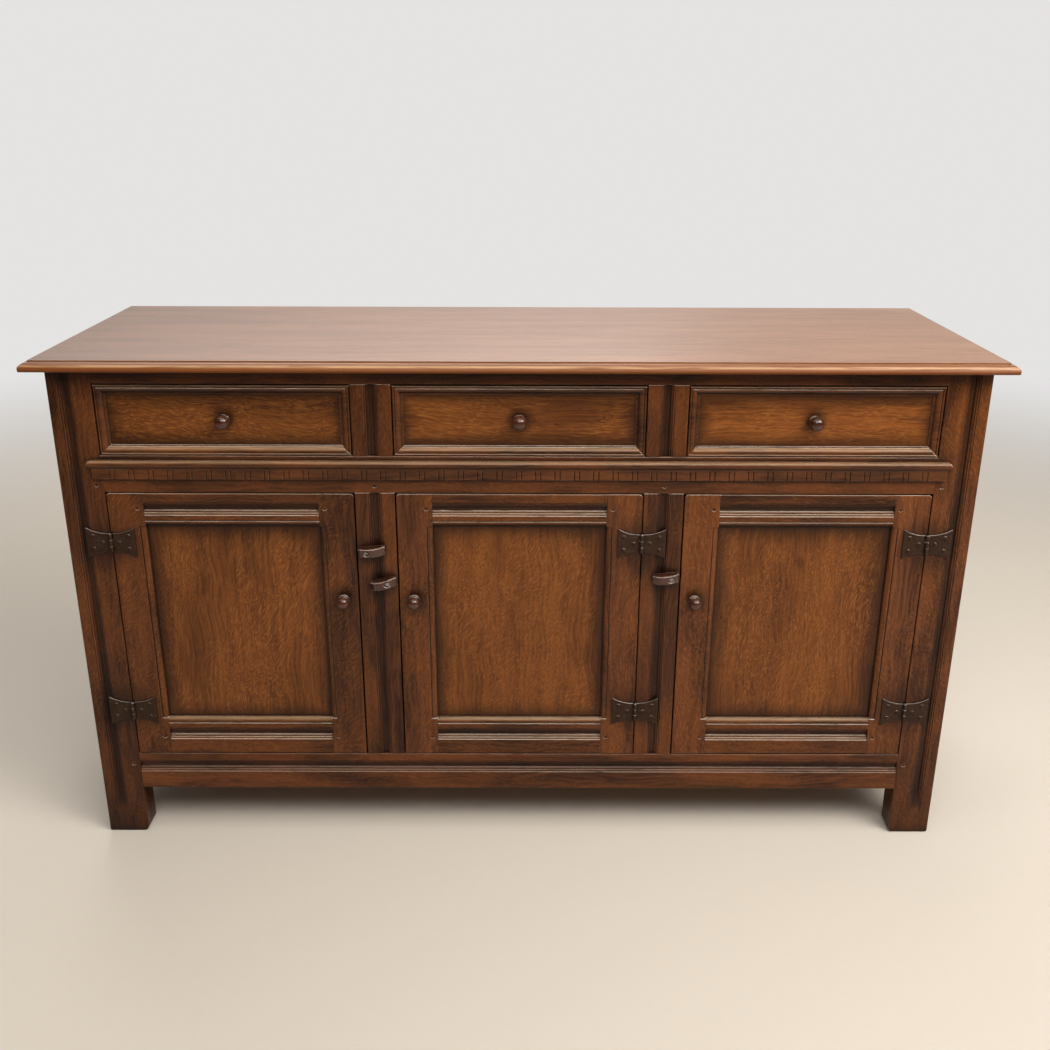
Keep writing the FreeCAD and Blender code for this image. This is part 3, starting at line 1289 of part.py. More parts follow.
def button_screw(place, level):
    """A round-headed screw whose shank passes through the button into the muntin."""
    body = new_body("button_screw", (place, face_place, level))
    head = -S.button_gap - S.button_seat - S.button_bore_gap
    half = [(0, S.screw_length), (S.screw_radius, S.screw_length), (S.screw_radius, head),
            (S.screw_head_radius, head), (0, head - S.screw_head_height, -OVOLO)]
    turn(body, draw(sketch(body, "half", "XY"), half))
    return body


top_board()
front_post(-1, "front_post_left")
front_post(1, "front_post_right")
front_top_rail()
waist_rail()
bottom_rail()
muntins()
waist_moulding()
sides()
back()
cupboard_floor()
drawer_carriage()
frame_pegs()
hinges()
for (bay_name, bay_index, hand_sign), button_level, button_tilt in zip(BAYS, button_levels, button_tilts):
    drawer(bay_name, bay_index)
    door(bay_name, bay_index, hand_sign)
    turn_button(bay_name, button_place(bay_index, hand_sign), button_level, button_tilt, hand_sign)
group("button_screws", [button_screw(place, level) for place, level in button_places])

doc.recompute()

faults = [item.Label for item in doc.Objects if "Invalid" in item.State or "Error" in item.State]
for item in subparts:
    if item.Shape.isNull() or not item.Shape.isValid() or not item.Shape.Solids:
        faults.append(item.Label)
if faults:
    raise RuntimeError("these pieces failed: " + ", ".join(faults))

os.makedirs("parts", exist_ok=True)
for item in subparts:
    item.Shape.exportStep("parts/%s.step" % item.Label)
    print(item.Label, len(item.Shape.Solids), "solids, volume", round(item.Shape.Volume), "mm3")
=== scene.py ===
import json
import math
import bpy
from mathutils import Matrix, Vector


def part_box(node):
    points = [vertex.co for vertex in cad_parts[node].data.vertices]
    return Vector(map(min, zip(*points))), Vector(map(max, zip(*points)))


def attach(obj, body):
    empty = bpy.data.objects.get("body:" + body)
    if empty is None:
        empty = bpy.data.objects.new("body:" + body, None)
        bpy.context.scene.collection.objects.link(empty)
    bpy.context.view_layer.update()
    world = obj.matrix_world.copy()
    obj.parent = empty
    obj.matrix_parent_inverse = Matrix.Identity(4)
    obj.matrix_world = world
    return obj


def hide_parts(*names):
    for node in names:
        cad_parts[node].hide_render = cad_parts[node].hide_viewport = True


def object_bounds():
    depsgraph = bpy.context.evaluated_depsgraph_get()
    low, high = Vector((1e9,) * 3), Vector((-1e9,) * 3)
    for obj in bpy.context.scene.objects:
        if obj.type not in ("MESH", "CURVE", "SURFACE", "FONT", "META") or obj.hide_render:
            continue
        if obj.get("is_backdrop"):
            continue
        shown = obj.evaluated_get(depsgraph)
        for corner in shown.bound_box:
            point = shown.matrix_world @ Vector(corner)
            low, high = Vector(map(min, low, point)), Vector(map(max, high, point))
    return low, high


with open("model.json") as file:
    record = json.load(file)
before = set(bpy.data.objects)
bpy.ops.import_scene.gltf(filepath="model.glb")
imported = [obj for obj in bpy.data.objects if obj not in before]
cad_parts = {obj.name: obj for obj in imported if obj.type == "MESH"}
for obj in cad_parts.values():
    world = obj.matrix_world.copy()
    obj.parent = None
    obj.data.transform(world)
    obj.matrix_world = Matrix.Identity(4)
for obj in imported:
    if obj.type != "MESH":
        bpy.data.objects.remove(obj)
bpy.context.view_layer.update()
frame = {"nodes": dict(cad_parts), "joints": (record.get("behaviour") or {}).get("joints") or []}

from types import SimpleNamespace

import bmesh
import bpy
from bpy.props import FloatProperty, FloatVectorProperty, PointerProperty
from bpy.types import Operator, Panel, PropertyGroup
from mathutils import Matrix, Vector

bl_info = {
    "name": "Oak dresser base",
    "version": (1, 0, 0),
    "blender": (4, 5, 0),
    "location": "3D View > Sidebar > Dresser",
    "description": "Finishes an oak dresser base with drawers, panelled doors and iron hinges",
    "category": "Object",
}

BAYS = ("left", "middle", "right")

# Stain of some pieces, as shares of the finish colours; three values go from the left bay to the right one. The
# drawer field, stile and right post shares grow towards the right: partly stain, partly painted light falling from
# the right
FIELD_STAIN_AND_LIGHT_SHARES = (0.86, 1.12, 1.40)
STILE_STAIN_AND_LIGHT_SHARES = (0.92, 1.28, 1.48)
RIGHT_POST_STAIN_AND_LIGHT_SHARE = 1.4
BOTTOM_RAIL_SHARE = 1.3
SIDE_STREAK_SHARE = 1.7

# Lengths of the marks in the oak along the grain and across it, in metres
FIGURE = (0.36, 0.040)
SHEET = (0.150, 0.055)
PORE = (0.014, 0.0009)
FIBRE_LENGTH = 0.13
WANDER = 0.11
SPECK = 0.0038
CORNER_REACH = 0.026

# Turn of the flecks and length of the rays in the door panels, from the left bay to the right one
PANEL_TURNS = (0.35, 0.60, 0.2)
PANEL_RAYS = (0.018, 0.013, 0.015)

# Dark halos: radius in metres and depth
HINGE_HALO = (0.062, 0.55)
BUTTON_HALO = (0.034, 0.5)
DOOR_KNOB_HALO = (0.028, 0.5)
DRAWER_KNOB_HALO = (0.026, 0.60)
HINGE_INSET = 0.03

# Widths of the frames round drawer fields and door panels, in metres
DRAWER_MARGIN = 0.0155
PANEL_MARGIN = 0.0085

# Colours inside the iron: brown blotches, and the dark of its hollows, which is dirt and painted shade
RUST = (0.050, 0.026, 0.016)
HOLLOW_GRIME_AND_SHADE = (0.004, 0.0025, 0.0018)
IRON_EDGE = 0.0013
IRON_REACH = 0.006

# Rings of a screw's dome: step inwards and rise, as shares of the head's radius and height
DOME_RINGS = ((0.18, 0.45), (0.25, 0.32), (0.35, 0.18), (0.5, 0.08))
SCREW_TURNS = (0.4, 1.3, 0.9)
SHANK_RADII = (0.0019, 0.0012)

FLOOR_RADIUS = 9.0
FLOOR_FADE = (1.7, 4.2)
SENSOR_WIDTH = 36.0


class Value:
    """A socket's output. Sums, differences and products of values add their Math nodes."""

    def __init__(self, shade, socket):
        self.shade = shade
        self.socket = socket

    def __add__(self, other):
        return self.shade.maths("ADD", self, other)

    def __radd__(self, other):
        return self.shade.maths("ADD", other, self)

    def __sub__(self, other):
        return self.shade.maths("SUBTRACT", self, other)

    def __rsub__(self, other):
        return self.shade.maths("SUBTRACT", other, self)

    def __mul__(self, other):
        return self.shade.maths("MULTIPLY", self, other)

    def __rmul__(self, other):
        return self.shade.maths("MULTIPLY", other, self)


class Shade:
    """A node tree with one method that adds any node: settings first, then socket values or links."""

    def __init__(self, tree):
        self.tree = tree
        self.tree.nodes.clear()

    def node(self, kind, settings=None, inputs=None, output=0):
        made = self.tree.nodes.new("ShaderNode" + kind)
        for name, value in (settings or {}).items():
            setattr(made, name, value)
        for key, value in (inputs or {}).items():
            if isinstance(value, Value):
                self.tree.links.new(value.socket, made.inputs[key])
            else:
                made.inputs[key].default_value = value
        return Value(self, made.outputs[output]) if made.outputs else made

    def maths(self, operation, first, second):
        return self.node("Math", {"operation": operation}, {0: first, 1: second})

    def least(self, first, second):
        return self.maths("MINIMUM", first, second)

    def ramp(self, value, low, high):
        """A soft step from 0 at low to 1 at high."""
        return self.node("MapRange", {"interpolation_type": "SMOOTHSTEP"},
                         {"Value": value, "From Min": low, "From Max": high})

    def vector(self, operation, first, second, output=0):
        return self.node("VectorMath", {"operation": operation}, {0: first, 1: second}, output)

    def part(self, vector, axis):
        return self.node("SeparateXYZ", None, {"Vector": vector}, axis)

    def swayed(self, place, sway, amount):
        return self.node("VectorMath", {"operation": "MULTIPLY_ADD"}, {0: sway, 1: (amount,) * 3, 2: place})

    def mix(self, factor, first, second):
        """A mix of two colours, whose sockets are the seventh and eighth of the node."""
        return self.node("Mix", {"data_type": "RGBA"}, {0: factor, 6: first, 7: second}, 2)

    def noise(self, place, detail=2.0, output=0):
        return self.node("TexNoise", None, {"Vector": place, "Scale": 1.0, "Detail": detail}, output)

    def stretched(self, place, lengths, turn=(0.0, 0.0, 0.0), shift=(0.0, 0.0, 0.0)):
        """The place turned, then divided by a length for each direction, in metres."""
        return self.node("Mapping", {"vector_type": "TEXTURE"},
                         {"Vector": place, "Location": shift, "Rotation": turn, "Scale": lengths})


def rgba(colour):
    """A colour with full alpha."""
    return (colour[0], colour[1], colour[2], 1.0)


def scaled(colour, share):
    return [channel * share for channel in colour]


def along(grain, length, width):
    """Lengths for a pattern that runs along the grain axis."""
    return tuple(length if axis == grain else width for axis in "XYZ")


def settings_of(context):
    return context.scene.dresser_finish


class WoodFinish(PropertyGroup):
    """Colours and gloss of the oak."""

    frame_dark: FloatVectorProperty(name="Frame, dark", description="Dark streaks of posts, rails and stiles",
                                    subtype="COLOR", default=(0.021, 0.0058, 0.0019))
    frame_light: FloatVectorProperty(name="Frame, light", description="Light streaks of posts, rails and stiles",
                                     subtype="COLOR", default=(0.091, 0.0272, 0.0076))
    field_dark: FloatVectorProperty(name="Field, dark", description="Dark streaks of panels and drawer fields",
                                    subtype="COLOR", default=(0.070, 0.0192, 0.0040))
    field_light: FloatVectorProperty(name="Field, light", description="Light streaks of panels and drawer fields",
                                     subtype="COLOR", default=(0.180, 0.0560, 0.0100))
    top_dark: FloatVectorProperty(name="Top, dark", description="Dark streaks of the top board",
                                  subtype="COLOR", default=(0.212, 0.0780, 0.0220))
    top_light: FloatVectorProperty(name="Top, light", description="Light streaks of the top board",
                                   subtype="COLOR", default=(0.335, 0.1310, 0.0380))
    inside_dark: FloatVectorProperty(name="Inside, dark", description="Dark streaks of unpolished boards",
                                     subtype="COLOR", default=(0.235, 0.120, 0.052))
    inside_light: FloatVectorProperty(name="Inside, light", description="Light streaks of unpolished boards",
                                      subtype="COLOR", default=(0.330, 0.182, 0.086))
    turned_dark: FloatVectorProperty(name="Turned, dark", description="Dark streaks of knobs and turn-buttons",
                                     subtype="COLOR", default=(0.026, 0.0085, 0.0050))
    turned_light: FloatVectorProperty(name="Turned, light", description="Light streaks of knobs and turn-buttons",
                                      subtype="COLOR", default=(0.085, 0.0240, 0.0100))
    mellow: FloatVectorProperty(name="Mellow patches", description="Golden patches of posts, rails and stiles",
                                subtype="COLOR", default=(0.172, 0.0490, 0.0098))
    fleck: FloatVectorProperty(name="Ray flecks", description="Flecks of quarter-sawn oak",
                               subtype="COLOR", default=(0.300, 0.1080, 0.0200))
    # Rubbed wood on edges; also the painted light on upper faces of pieces without a colour of their own for it
    wear_and_highlight: FloatVectorProperty(name="Worn edges", description="Wood that shows where the stain has rubbed off",
                              subtype="COLOR", default=(0.340, 0.1550, 0.0750))
    # Painted highlight along the upper arrises
    painted_glint: FloatVectorProperty(name="Polished edges", description="Pale upper edges that hands have polished",
                               subtype="COLOR", default=(0.860, 0.690, 0.540))
    # Painted highlight: pale gold on upper faces of mouldings and along the top board's front edge
    moulding_highlight: FloatVectorProperty(name="Moulded edges", description="Upper faces of mouldings, rubbed to a pale gold",
                              subtype="COLOR", default=(0.620, 0.370, 0.190))
    # Dark of dust specks, and of the painted shade in corners and under downward faces
    grime_and_shade: FloatVectorProperty(name="Grime", description="Old wax and dust in corners",
                               subtype="COLOR", default=(0.0105, 0.0036, 0.0017))
    wax_roughness: FloatProperty(name="Wax roughness", description="Roughness of the waxed faces",
                                 subtype="FACTOR", min=0.0, max=1.0, default=0.34)
    edge_softness: FloatProperty(name="Edge softness", description="Radius over which sharp edges look worn",
                                 subtype="DISTANCE", unit="LENGTH", default=0.0016)


class IronFinish(PropertyGroup):
    """Colours and hammer marks of the hinges, and sizes of the turn-buttons' screws."""

    iron: FloatVectorProperty(name="Iron", description="Blackened iron", subtype="COLOR",
                              default=(0.030, 0.0142, 0.0066))
    bright: FloatVectorProperty(name="Rubbed iron", description="Iron that shows on edges and nail heads",
                                subtype="COLOR", default=(0.150, 0.108, 0.082))
    # Painted highlight along the iron's upper edges
    upper_edge_highlight: FloatVectorProperty(name="Upper edges", description="Iron of upper edges, where it is rubbed most",
                             subtype="COLOR", default=(0.560, 0.460, 0.390))
    steel: FloatVectorProperty(name="Steel", description="Steel of the turn-buttons' screws", subtype="COLOR",
                               default=(0.300, 0.250, 0.210))
    hammer: FloatProperty(name="Hammer marks", description="Distance between hammer marks", subtype="DISTANCE",
                          unit="LENGTH", default=0.0055)
    head_radius: FloatProperty(name="Screw head", description="Radius of a turn-button's screw head",
                               subtype="DISTANCE", unit="LENGTH", default=0.004)
    head_height: FloatProperty(name="Head height", description="Height of a turn-button's screw head",
                               subtype="DISTANCE", unit="LENGTH", default=0.0022)
    slot_width: FloatProperty(name="Slot", description="Width of the screw's slot", subtype="DISTANCE",
                              unit="LENGTH", default=0.0009)


class StageLook(PropertyGroup):
    """Floor, lamps and camera."""

    floor: FloatVectorProperty(name="Floor", description="Plain pale floor", subtype="COLOR",
                               default=(0.68, 0.60, 0.50))
    backdrop: FloatVectorProperty(name="Backdrop", description="Pale surroundings", subtype="COLOR",
                                  default=(0.78, 0.77, 0.76))
    ambient: FloatProperty(name="Ambient", description="Soft light from all round", default=0.24)
    front: FloatProperty(name="Front lamp", description="Power of the soft lamp above the camera", unit="POWER",
                         default=66.0)
    overhead: FloatProperty(name="Overhead lamp", description="Power of the soft strip above the front",
                            unit="POWER", default=12.0)
    rear: FloatProperty(name="Rear lamp", description="Power of the soft lamp behind", unit="POWER", default=60.0)
    side: FloatProperty(name="Side lamp", description="Power of the soft lamp at the right", unit="POWER",
                        default=52.0)
    camera_place: FloatVectorProperty(name="Camera", description="Where the camera stands", subtype="TRANSLATION",
                                      unit="LENGTH", default=(0.00597, -1.90107, 1.19867))
    camera_pitch: FloatProperty(name="Pitch", description="Camera below the horizon", subtype="ANGLE",
                                default=0.35561)
    camera_yaw: FloatProperty(name="Yaw", description="Camera to the right of straight on", subtype="ANGLE",
                              default=0.00179)
    camera_roll: FloatProperty(name="Roll", description="Camera about its own axis", subtype="ANGLE",
                               default=0.00324)
    lens: FloatProperty(name="Lens", description="Focal length in millimetres on a 36 mm sensor", default=39.008)


class DresserFinish(PropertyGroup):
    """All that a user would change."""

    wood: PointerProperty(type=WoodFinish)
    iron: PointerProperty(type=IronFinish)
    stage: PointerProperty(type=StageLook)


def new_shade(name):
    material = bpy.data.materials.new(name)
    material.use_nodes = True
    return material, Shade(material.node_tree)


def edges_of(shade, radius):
    """How sharply the surface turns nearby, and the softened normal itself."""
    soft = shade.node("Bevel", {"samples": 4}, {"Radius": radius})
    true = shade.node("NewGeometry", output="Normal")
    facing = shade.vector("DOT_PRODUCT", soft, true, 1)
    return 1.0 - facing, soft


def hollows_of(shade, reach):
    """1 in the open and 0 deep in a corner."""
    return shade.node("AmbientOcclusion", {"samples": 6, "only_local": False}, {"Distance": reach}, 1)


def inside_distance(shade, place, low, high, axes):
    """Distance to the nearest side of a box, measured along the given axes."""
    nearest = None
    for axis in axes:
        index = "XYZ".index(axis)
        here = shade.part(place, axis)
        for gap in (here - low[index], high[index] - here):
            nearest = gap if nearest is None else shade.least(nearest, gap)
    return nearest


def grain_marks(shade, base, grain, normal, seed, streak, swirl, fleck_turn, ray_length):
    """The marks of a board, each as a value from 0 to 1."""
    place = shade.vector("ADD", base, (seed * 1.7, seed * 0.9, seed * 1.3))
    drift = shade.noise(shade.stretched(place, (WANDER,) * 3), 1.0, 1)
    sway = shade.vector("SUBTRACT", drift, (0.5, 0.5, 0.5))
    bent = shade.swayed(place, sway, swirl * 0.5)
    swirled = shade.swayed(place, sway, swirl)
    turn = tuple(fleck_turn if axis == normal else 0.0 for axis in "XYZ")
    ray_lengths = along(grain, ray_length, ray_length * 0.080)
    fine = shade.noise(shade.stretched(bent, along(grain, *PORE)), 1.0)
    dust = shade.noise(shade.stretched(place, (SPECK,) * 3), 1.0)
    return SimpleNamespace(
        figure=shade.noise(shade.stretched(bent, along(grain, *FIGURE)), 3.0),
        fibre=shade.noise(shade.stretched(bent, along(grain, FIBRE_LENGTH, streak * 0.45)), 3.0),
        pores=shade.ramp(fine, 0.58, 0.70),
        sheet=shade.noise(shade.stretched(place, along(grain, *SHEET)), 1.0),
        ray=shade.noise(shade.stretched(swirled, ray_lengths, turn), 1.0),
        specks=shade.ramp(dust, 0.72, 0.78))


def stained(shade, marks, wood, dark, light, flecks, mellow):
    """The tone of a board, and its colour with patches, flecks, pores and specks."""
    tone = shade.ramp(marks.figure * 0.48 + marks.fibre * 0.52, 0.33, 0.67)
    rays = shade.ramp(marks.ray, 0.50, 0.66) * shade.ramp(marks.sheet, 0.24, 0.54)
    strokes = shade.ramp(marks.ray, 0.46, 0.28) * (flecks * 0.55)
    colour = shade.mix(tone, rgba(dark), rgba(light))
    colour = shade.mix(shade.ramp(marks.sheet, 0.42, 0.66) * mellow, colour, rgba(wood.mellow))
    colour = shade.mix(rays * flecks, colour, rgba(wood.fleck))
    colour = shade.mix(strokes, colour, rgba(scaled(dark, 0.6)))
    colour = shade.mix(marks.pores * 0.35, colour, rgba(scaled(dark, 0.4)))
    return tone, shade.mix(marks.specks * 0.75, colour, rgba(wood.grime_and_shade))


def shadowed(shade, colour, base, figure, shadow, frames, halos):
    """Darkens a colour towards the sides of boxes and round points."""
    for low, high, axes, width, depth in frames:
        gap = inside_distance(shade, base, low, high, axes) + (figure - 0.5) * (width * 0.7)
        colour = shade.mix((1.0 - shade.ramp(gap, -width * 0.3, width)) * depth, colour, shadow)
    for centre, radius, depth in halos:
        reach = shade.vector("DISTANCE", base, centre, 1) + (figure - 0.5) * (radius * 0.8)
        colour = shade.mix((1.0 - shade.ramp(reach, radius * 0.3, radius)) * depth, colour, shadow)
    return colour


def sunken(shade, colour, base, soft, face, shadow):
    """Paints shade in the channels cut just behind the face that lies at a level of Y, on their forward-facing
    faces.
    """
    depth = shade.part(base, "Y") - face
    cut = shade.ramp(depth, 0.0008, 0.0035) * shade.ramp(depth, 0.012, 0.008)
    return shade.mix(cut * shade.ramp(shade.part(soft, "Y"), -0.3, -0.75) * 0.62, colour, shadow)


def wear_and_painted_light(shade, colour, wood, fibre, turning, upward, wear_and_highlight, painted_relief, upper_light_colour, grime_and_shade):
    """Rubs edges, more on the upper ones as a painted highlight; paints light on upper faces and shade under
    downward faces; darkens corners with dirt and painted shade; paints a pale highlight line on the upper arrises.

    Gives the colour, where it is rubbed and where it is a corner.
    """
    open_air = hollows_of(shade, CORNER_REACH)
    bare = shade.ramp(turning, 0.015, 0.22) * shade.ramp(open_air, 0.45, 0.85) * shade.ramp(fibre, 0.30, 0.55)
    # Rubbed edges, stronger on the upper ones as a painted highlight
    rubbed = bare * (0.52 + shade.ramp(upward, 0.05, 0.60) * 0.48)
    colour = shade.mix(rubbed * (0.80 * wear_and_highlight), colour, rgba(wood.wear_and_highlight))
    # Painted light: upper faces lighter
    lit_upper_faces = shade.ramp(upward, 0.12, 0.75) * (0.30 + fibre * 0.70)
    colour = shade.mix(lit_upper_faces * painted_relief, colour, rgba(upper_light_colour or wood.wear_and_highlight))
    # Corners darkened with dirt and painted shade; undersides darkened with painted shade
    corners = 1.0 - shade.ramp(open_air, 0.38, 0.98)
    undersides = shade.ramp(upward, -0.10, -0.60) * (painted_relief * 1.4)
    dirt_and_shade_mask = shade.maths("MAXIMUM", corners * 0.88, undersides)
    colour = shade.mix(dirt_and_shade_mask * grime_and_shade, colour, rgba(wood.grime_and_shade))
    # Painted highlight: a pale line along the upper arrises
    upper_edge_highlight = shade.ramp(turning, 0.012, 0.10) * shade.ramp(upward, 0.12, 0.45)
    painted_glint = upper_edge_highlight * shade.ramp(open_air, 0.04, 0.25) * shade.ramp(fibre, 0.15, 0.50)
    colour = shade.mix(painted_glint * min(1.0, 0.92 * wear_and_highlight), colour, rgba(wood.painted_glint))
    return colour, rubbed, corners


def moulded_rim(shade, colour, wood, fibre, soft, upward):
    """Darkens and warms the moulded edge of a level board as painted shade, and paints a pale highlight line along
    its front.
    """
    rim = shade.ramp(upward, 0.975, 0.88)
    colour = shade.mix(rim * 0.85, colour, rgba(wood.mellow))
    across = shade.part(soft, "X")
    # Painted highlight: a pale gold band on the upward-sloping part of the edge, weaker towards the ends
    highlight_band = shade.ramp(upward, 0.48, 0.64) * shade.ramp(upward, 0.86, 0.72) * shade.ramp(fibre, 0.25, 0.60)
    ends = shade.ramp(across * across, 0.05, 0.3)
    return shade.mix(highlight_band * (0.62 - ends * 0.5), colour, rgba(wood.moulding_highlight))


def oak(name, wood, grain, dark, light, flecks=0.5, fleck_turn=0.5, normal="Y", seed=0.0, frames=(), halos=(),
        wear_and_highlight=1.0, roughness=None, gloss=0.20, streak=0.010, grime_and_shade=1.0, mellow=0.40, ray_length=0.015, softness=1.0,
        painted_relief=0.45, swirl=0.060, mirror=0.10, shine=1.5, level_face=False, upper_light_colour=None, face=None):
    """Waxed oak: streaks, pores and ray flecks along the grain, rubbed edges, painted highlights on upper edges and
    faces, and corners darkened with dirt and painted shade.

    A frame is a low and a high corner, axes, width and depth. A halo is a centre, radius and depth.
    """
    material, shade = new_shade(name)
    base = shade.node("TexCoord", output="Object")
    marks = grain_marks(shade, base, grain, normal, seed, streak, swirl, fleck_turn, ray_length)
    tone, colour = stained(shade, marks, wood, dark, light, flecks, mellow)
    shadow = rgba(scaled(dark, 0.25))
    colour = shadowed(shade, colour, base, marks.figure, shadow, frames, halos)
    turning, soft = edges_of(shade, wood.edge_softness * softness)
    upward = shade.part(soft, "Z")
    if face is not None:
        colour = sunken(shade, colour, base, soft, face, shadow)
    colour, rubbed, corners = wear_and_painted_light(shade, colour, wood, marks.fibre, turning, upward, wear_and_highlight, painted_relief, upper_light_colour, grime_and_shade)
    polish = gloss + shade.ramp(turning, 0.02, 0.25) * (0.6 * wear_and_highlight * gloss ** 0.5)
    if level_face:
        polish = polish * (0.10 + shade.ramp(upward, 0.50, 0.97) * 0.90)
        colour = moulded_rim(shade, colour, wood, marks.fibre, soft, upward)

    level = wood.wax_roughness if roughness is None else roughness
    rough = level + (0.5 - tone) * 0.12 + marks.pores * 0.12 + corners * 0.20 - rubbed * 0.06
    height = marks.fibre * 0.5 + marks.figure * 0.6 - marks.pores * 0.8
    bumped = shade.node("Bump", None, {"Strength": 0.35, "Distance": 0.0005, "Height": height, "Normal": soft})
    surface = shade.node("BsdfPrincipled", None, {
        "Base Color": colour, "Roughness": rough, "Normal": bumped, "Coat Weight": polish,
        "Coat Roughness": mirror, "Coat IOR": shine, "Specular IOR Level": 0.10})
    shade.node("OutputMaterial", None, {"Surface": surface})
    return material


def blackened_iron(name, finish, skin_colour, wear_and_highlight=1.0):
    """Hammered iron: shallow dents, brown-black skin and rubbed edges."""
    material, shade = new_shade(name)
    place = shade.node("TexCoord", output="Object")
    dents = shade.node("TexVoronoi", {"feature": "SMOOTH_F1"},
                       {"Vector": shade.stretched(place, (finish.hammer,) * 3), "Scale": 1.0, "Smoothness": 0.8})
    skin = shade.noise(shade.stretched(place, (0.004,) * 3), 4.0)
    blotch = shade.noise(shade.stretched(place, (0.018,) * 3), 2.0)
    turning, soft = edges_of(shade, IRON_EDGE)
    open_air = hollows_of(shade, IRON_REACH)
    rubbed = shade.ramp(turning, 0.02, 0.25) * shade.ramp(open_air, 0.5, 0.9)
    colour = shade.mix(shade.ramp(blotch, 0.35, 0.7) * 0.4, rgba(skin_colour), rgba(RUST))
    colour = shade.mix(shade.ramp(skin, 0.5, 0.75) * 0.14, colour, rgba(finish.bright))
    # Hollows darkened with dirt and painted shade
    colour = shade.mix(1.0 - shade.ramp(open_air, 0.45, 0.97), colour, rgba(HOLLOW_GRIME_AND_SHADE))
    colour = shade.mix(rubbed * (0.55 * wear_and_highlight), colour, rgba(finish.bright))
    # Painted highlight: a pale line along the upper edges
    upper_edge_highlight = shade.ramp(turning, 0.02, 0.18) * shade.ramp(shade.part(soft, "Z"), 0.12, 0.45)
    colour = shade.mix(upper_edge_highlight * 0.9, colour, rgba(finish.upper_edge_highlight))
    rough = 0.46 + (skin - 0.5) * 0.3 - rubbed * 0.1
    bumped = shade.node("Bump", None, {"Strength": 0.6, "Distance": 0.0008, "Height": dents + skin * 0.25,
                                       "Normal": soft})
    metal = 0.12 + rubbed * 0.45
    surface = shade.node("BsdfPrincipled", None, {"Base Color": colour, "Roughness": rough, "Metallic": metal,
                                                  "Normal": bumped, "Specular IOR Level": 0.12})
    shade.node("OutputMaterial", None, {"Surface": surface})
    return material


def dress(names, material):
    """Gives CAD nodes their finish."""
    for name in names:
        mesh = frame["nodes"][name].data
        mesh.materials.clear()
        mesh.materials.append(material)


def colours(wood, kind):
    """The dark and the light colour of a kind of oak."""
    return getattr(wood, kind + "_dark"), getattr(wood, kind + "_light")


def joint_place(name):
    """Where a joint's axis stands."""
    return Vector(next(joint for joint in frame["joints"] if joint["name"] == name)["pos_m"])


def hinge_spots(bay):
    """Dark halos round the two hinges of a door, as centre, radius and depth."""
    low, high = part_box("door_leaves_" + bay)
    axis = joint_place("door_%s_hinge" % bay)
    heights = (low.z + HINGE_INSET, high.z - HINGE_INSET)
    return [((axis.x, low.y + 0.003, height),) + HINGE_HALO for height in heights]


def spot(node, halo):
    """A dark halo behind a knob or turn-button."""
    low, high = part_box(node)
    centre = (low + high) / 2
    return ((centre.x, high.y - 0.012, centre.z),) + halo


class DRESSER_OT_top(Operator):
    """Finishes the moulded top board"""

    bl_idname = "dresser.top"
    bl_label = "Top board"

    def execute(self, context):
        wood = settings_of(context).wood
        dark, light = colours(wood, "top")
        low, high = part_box("top_board")
        # Painted shade: darker along the bottom of the moulded edge, and darker towards the left end
        painted_underside_shade = (low, high + Vector((0.0, 0.0, 1.0)), "Z", 0.007, 0.9)
        painted_left_shade = (low, high + Vector((1.0, 0.0, 0.0)), "X", 0.60, 0.38)
        dress(["top_board"], oak("waxed_top", wood, "X", dark, light, flecks=0.20, fleck_turn=0.25, normal="Z",
                                 seed=1.1, streak=0.008, roughness=0.36, gloss=0.9, frames=[painted_underside_shade, painted_left_shade],
                                 mellow=0.1, painted_relief=0.0, mirror=0.34, grime_and_shade=0.35, swirl=0.022, shine=1.66,
                                 level_face=True))
        return {"FINISHED"}


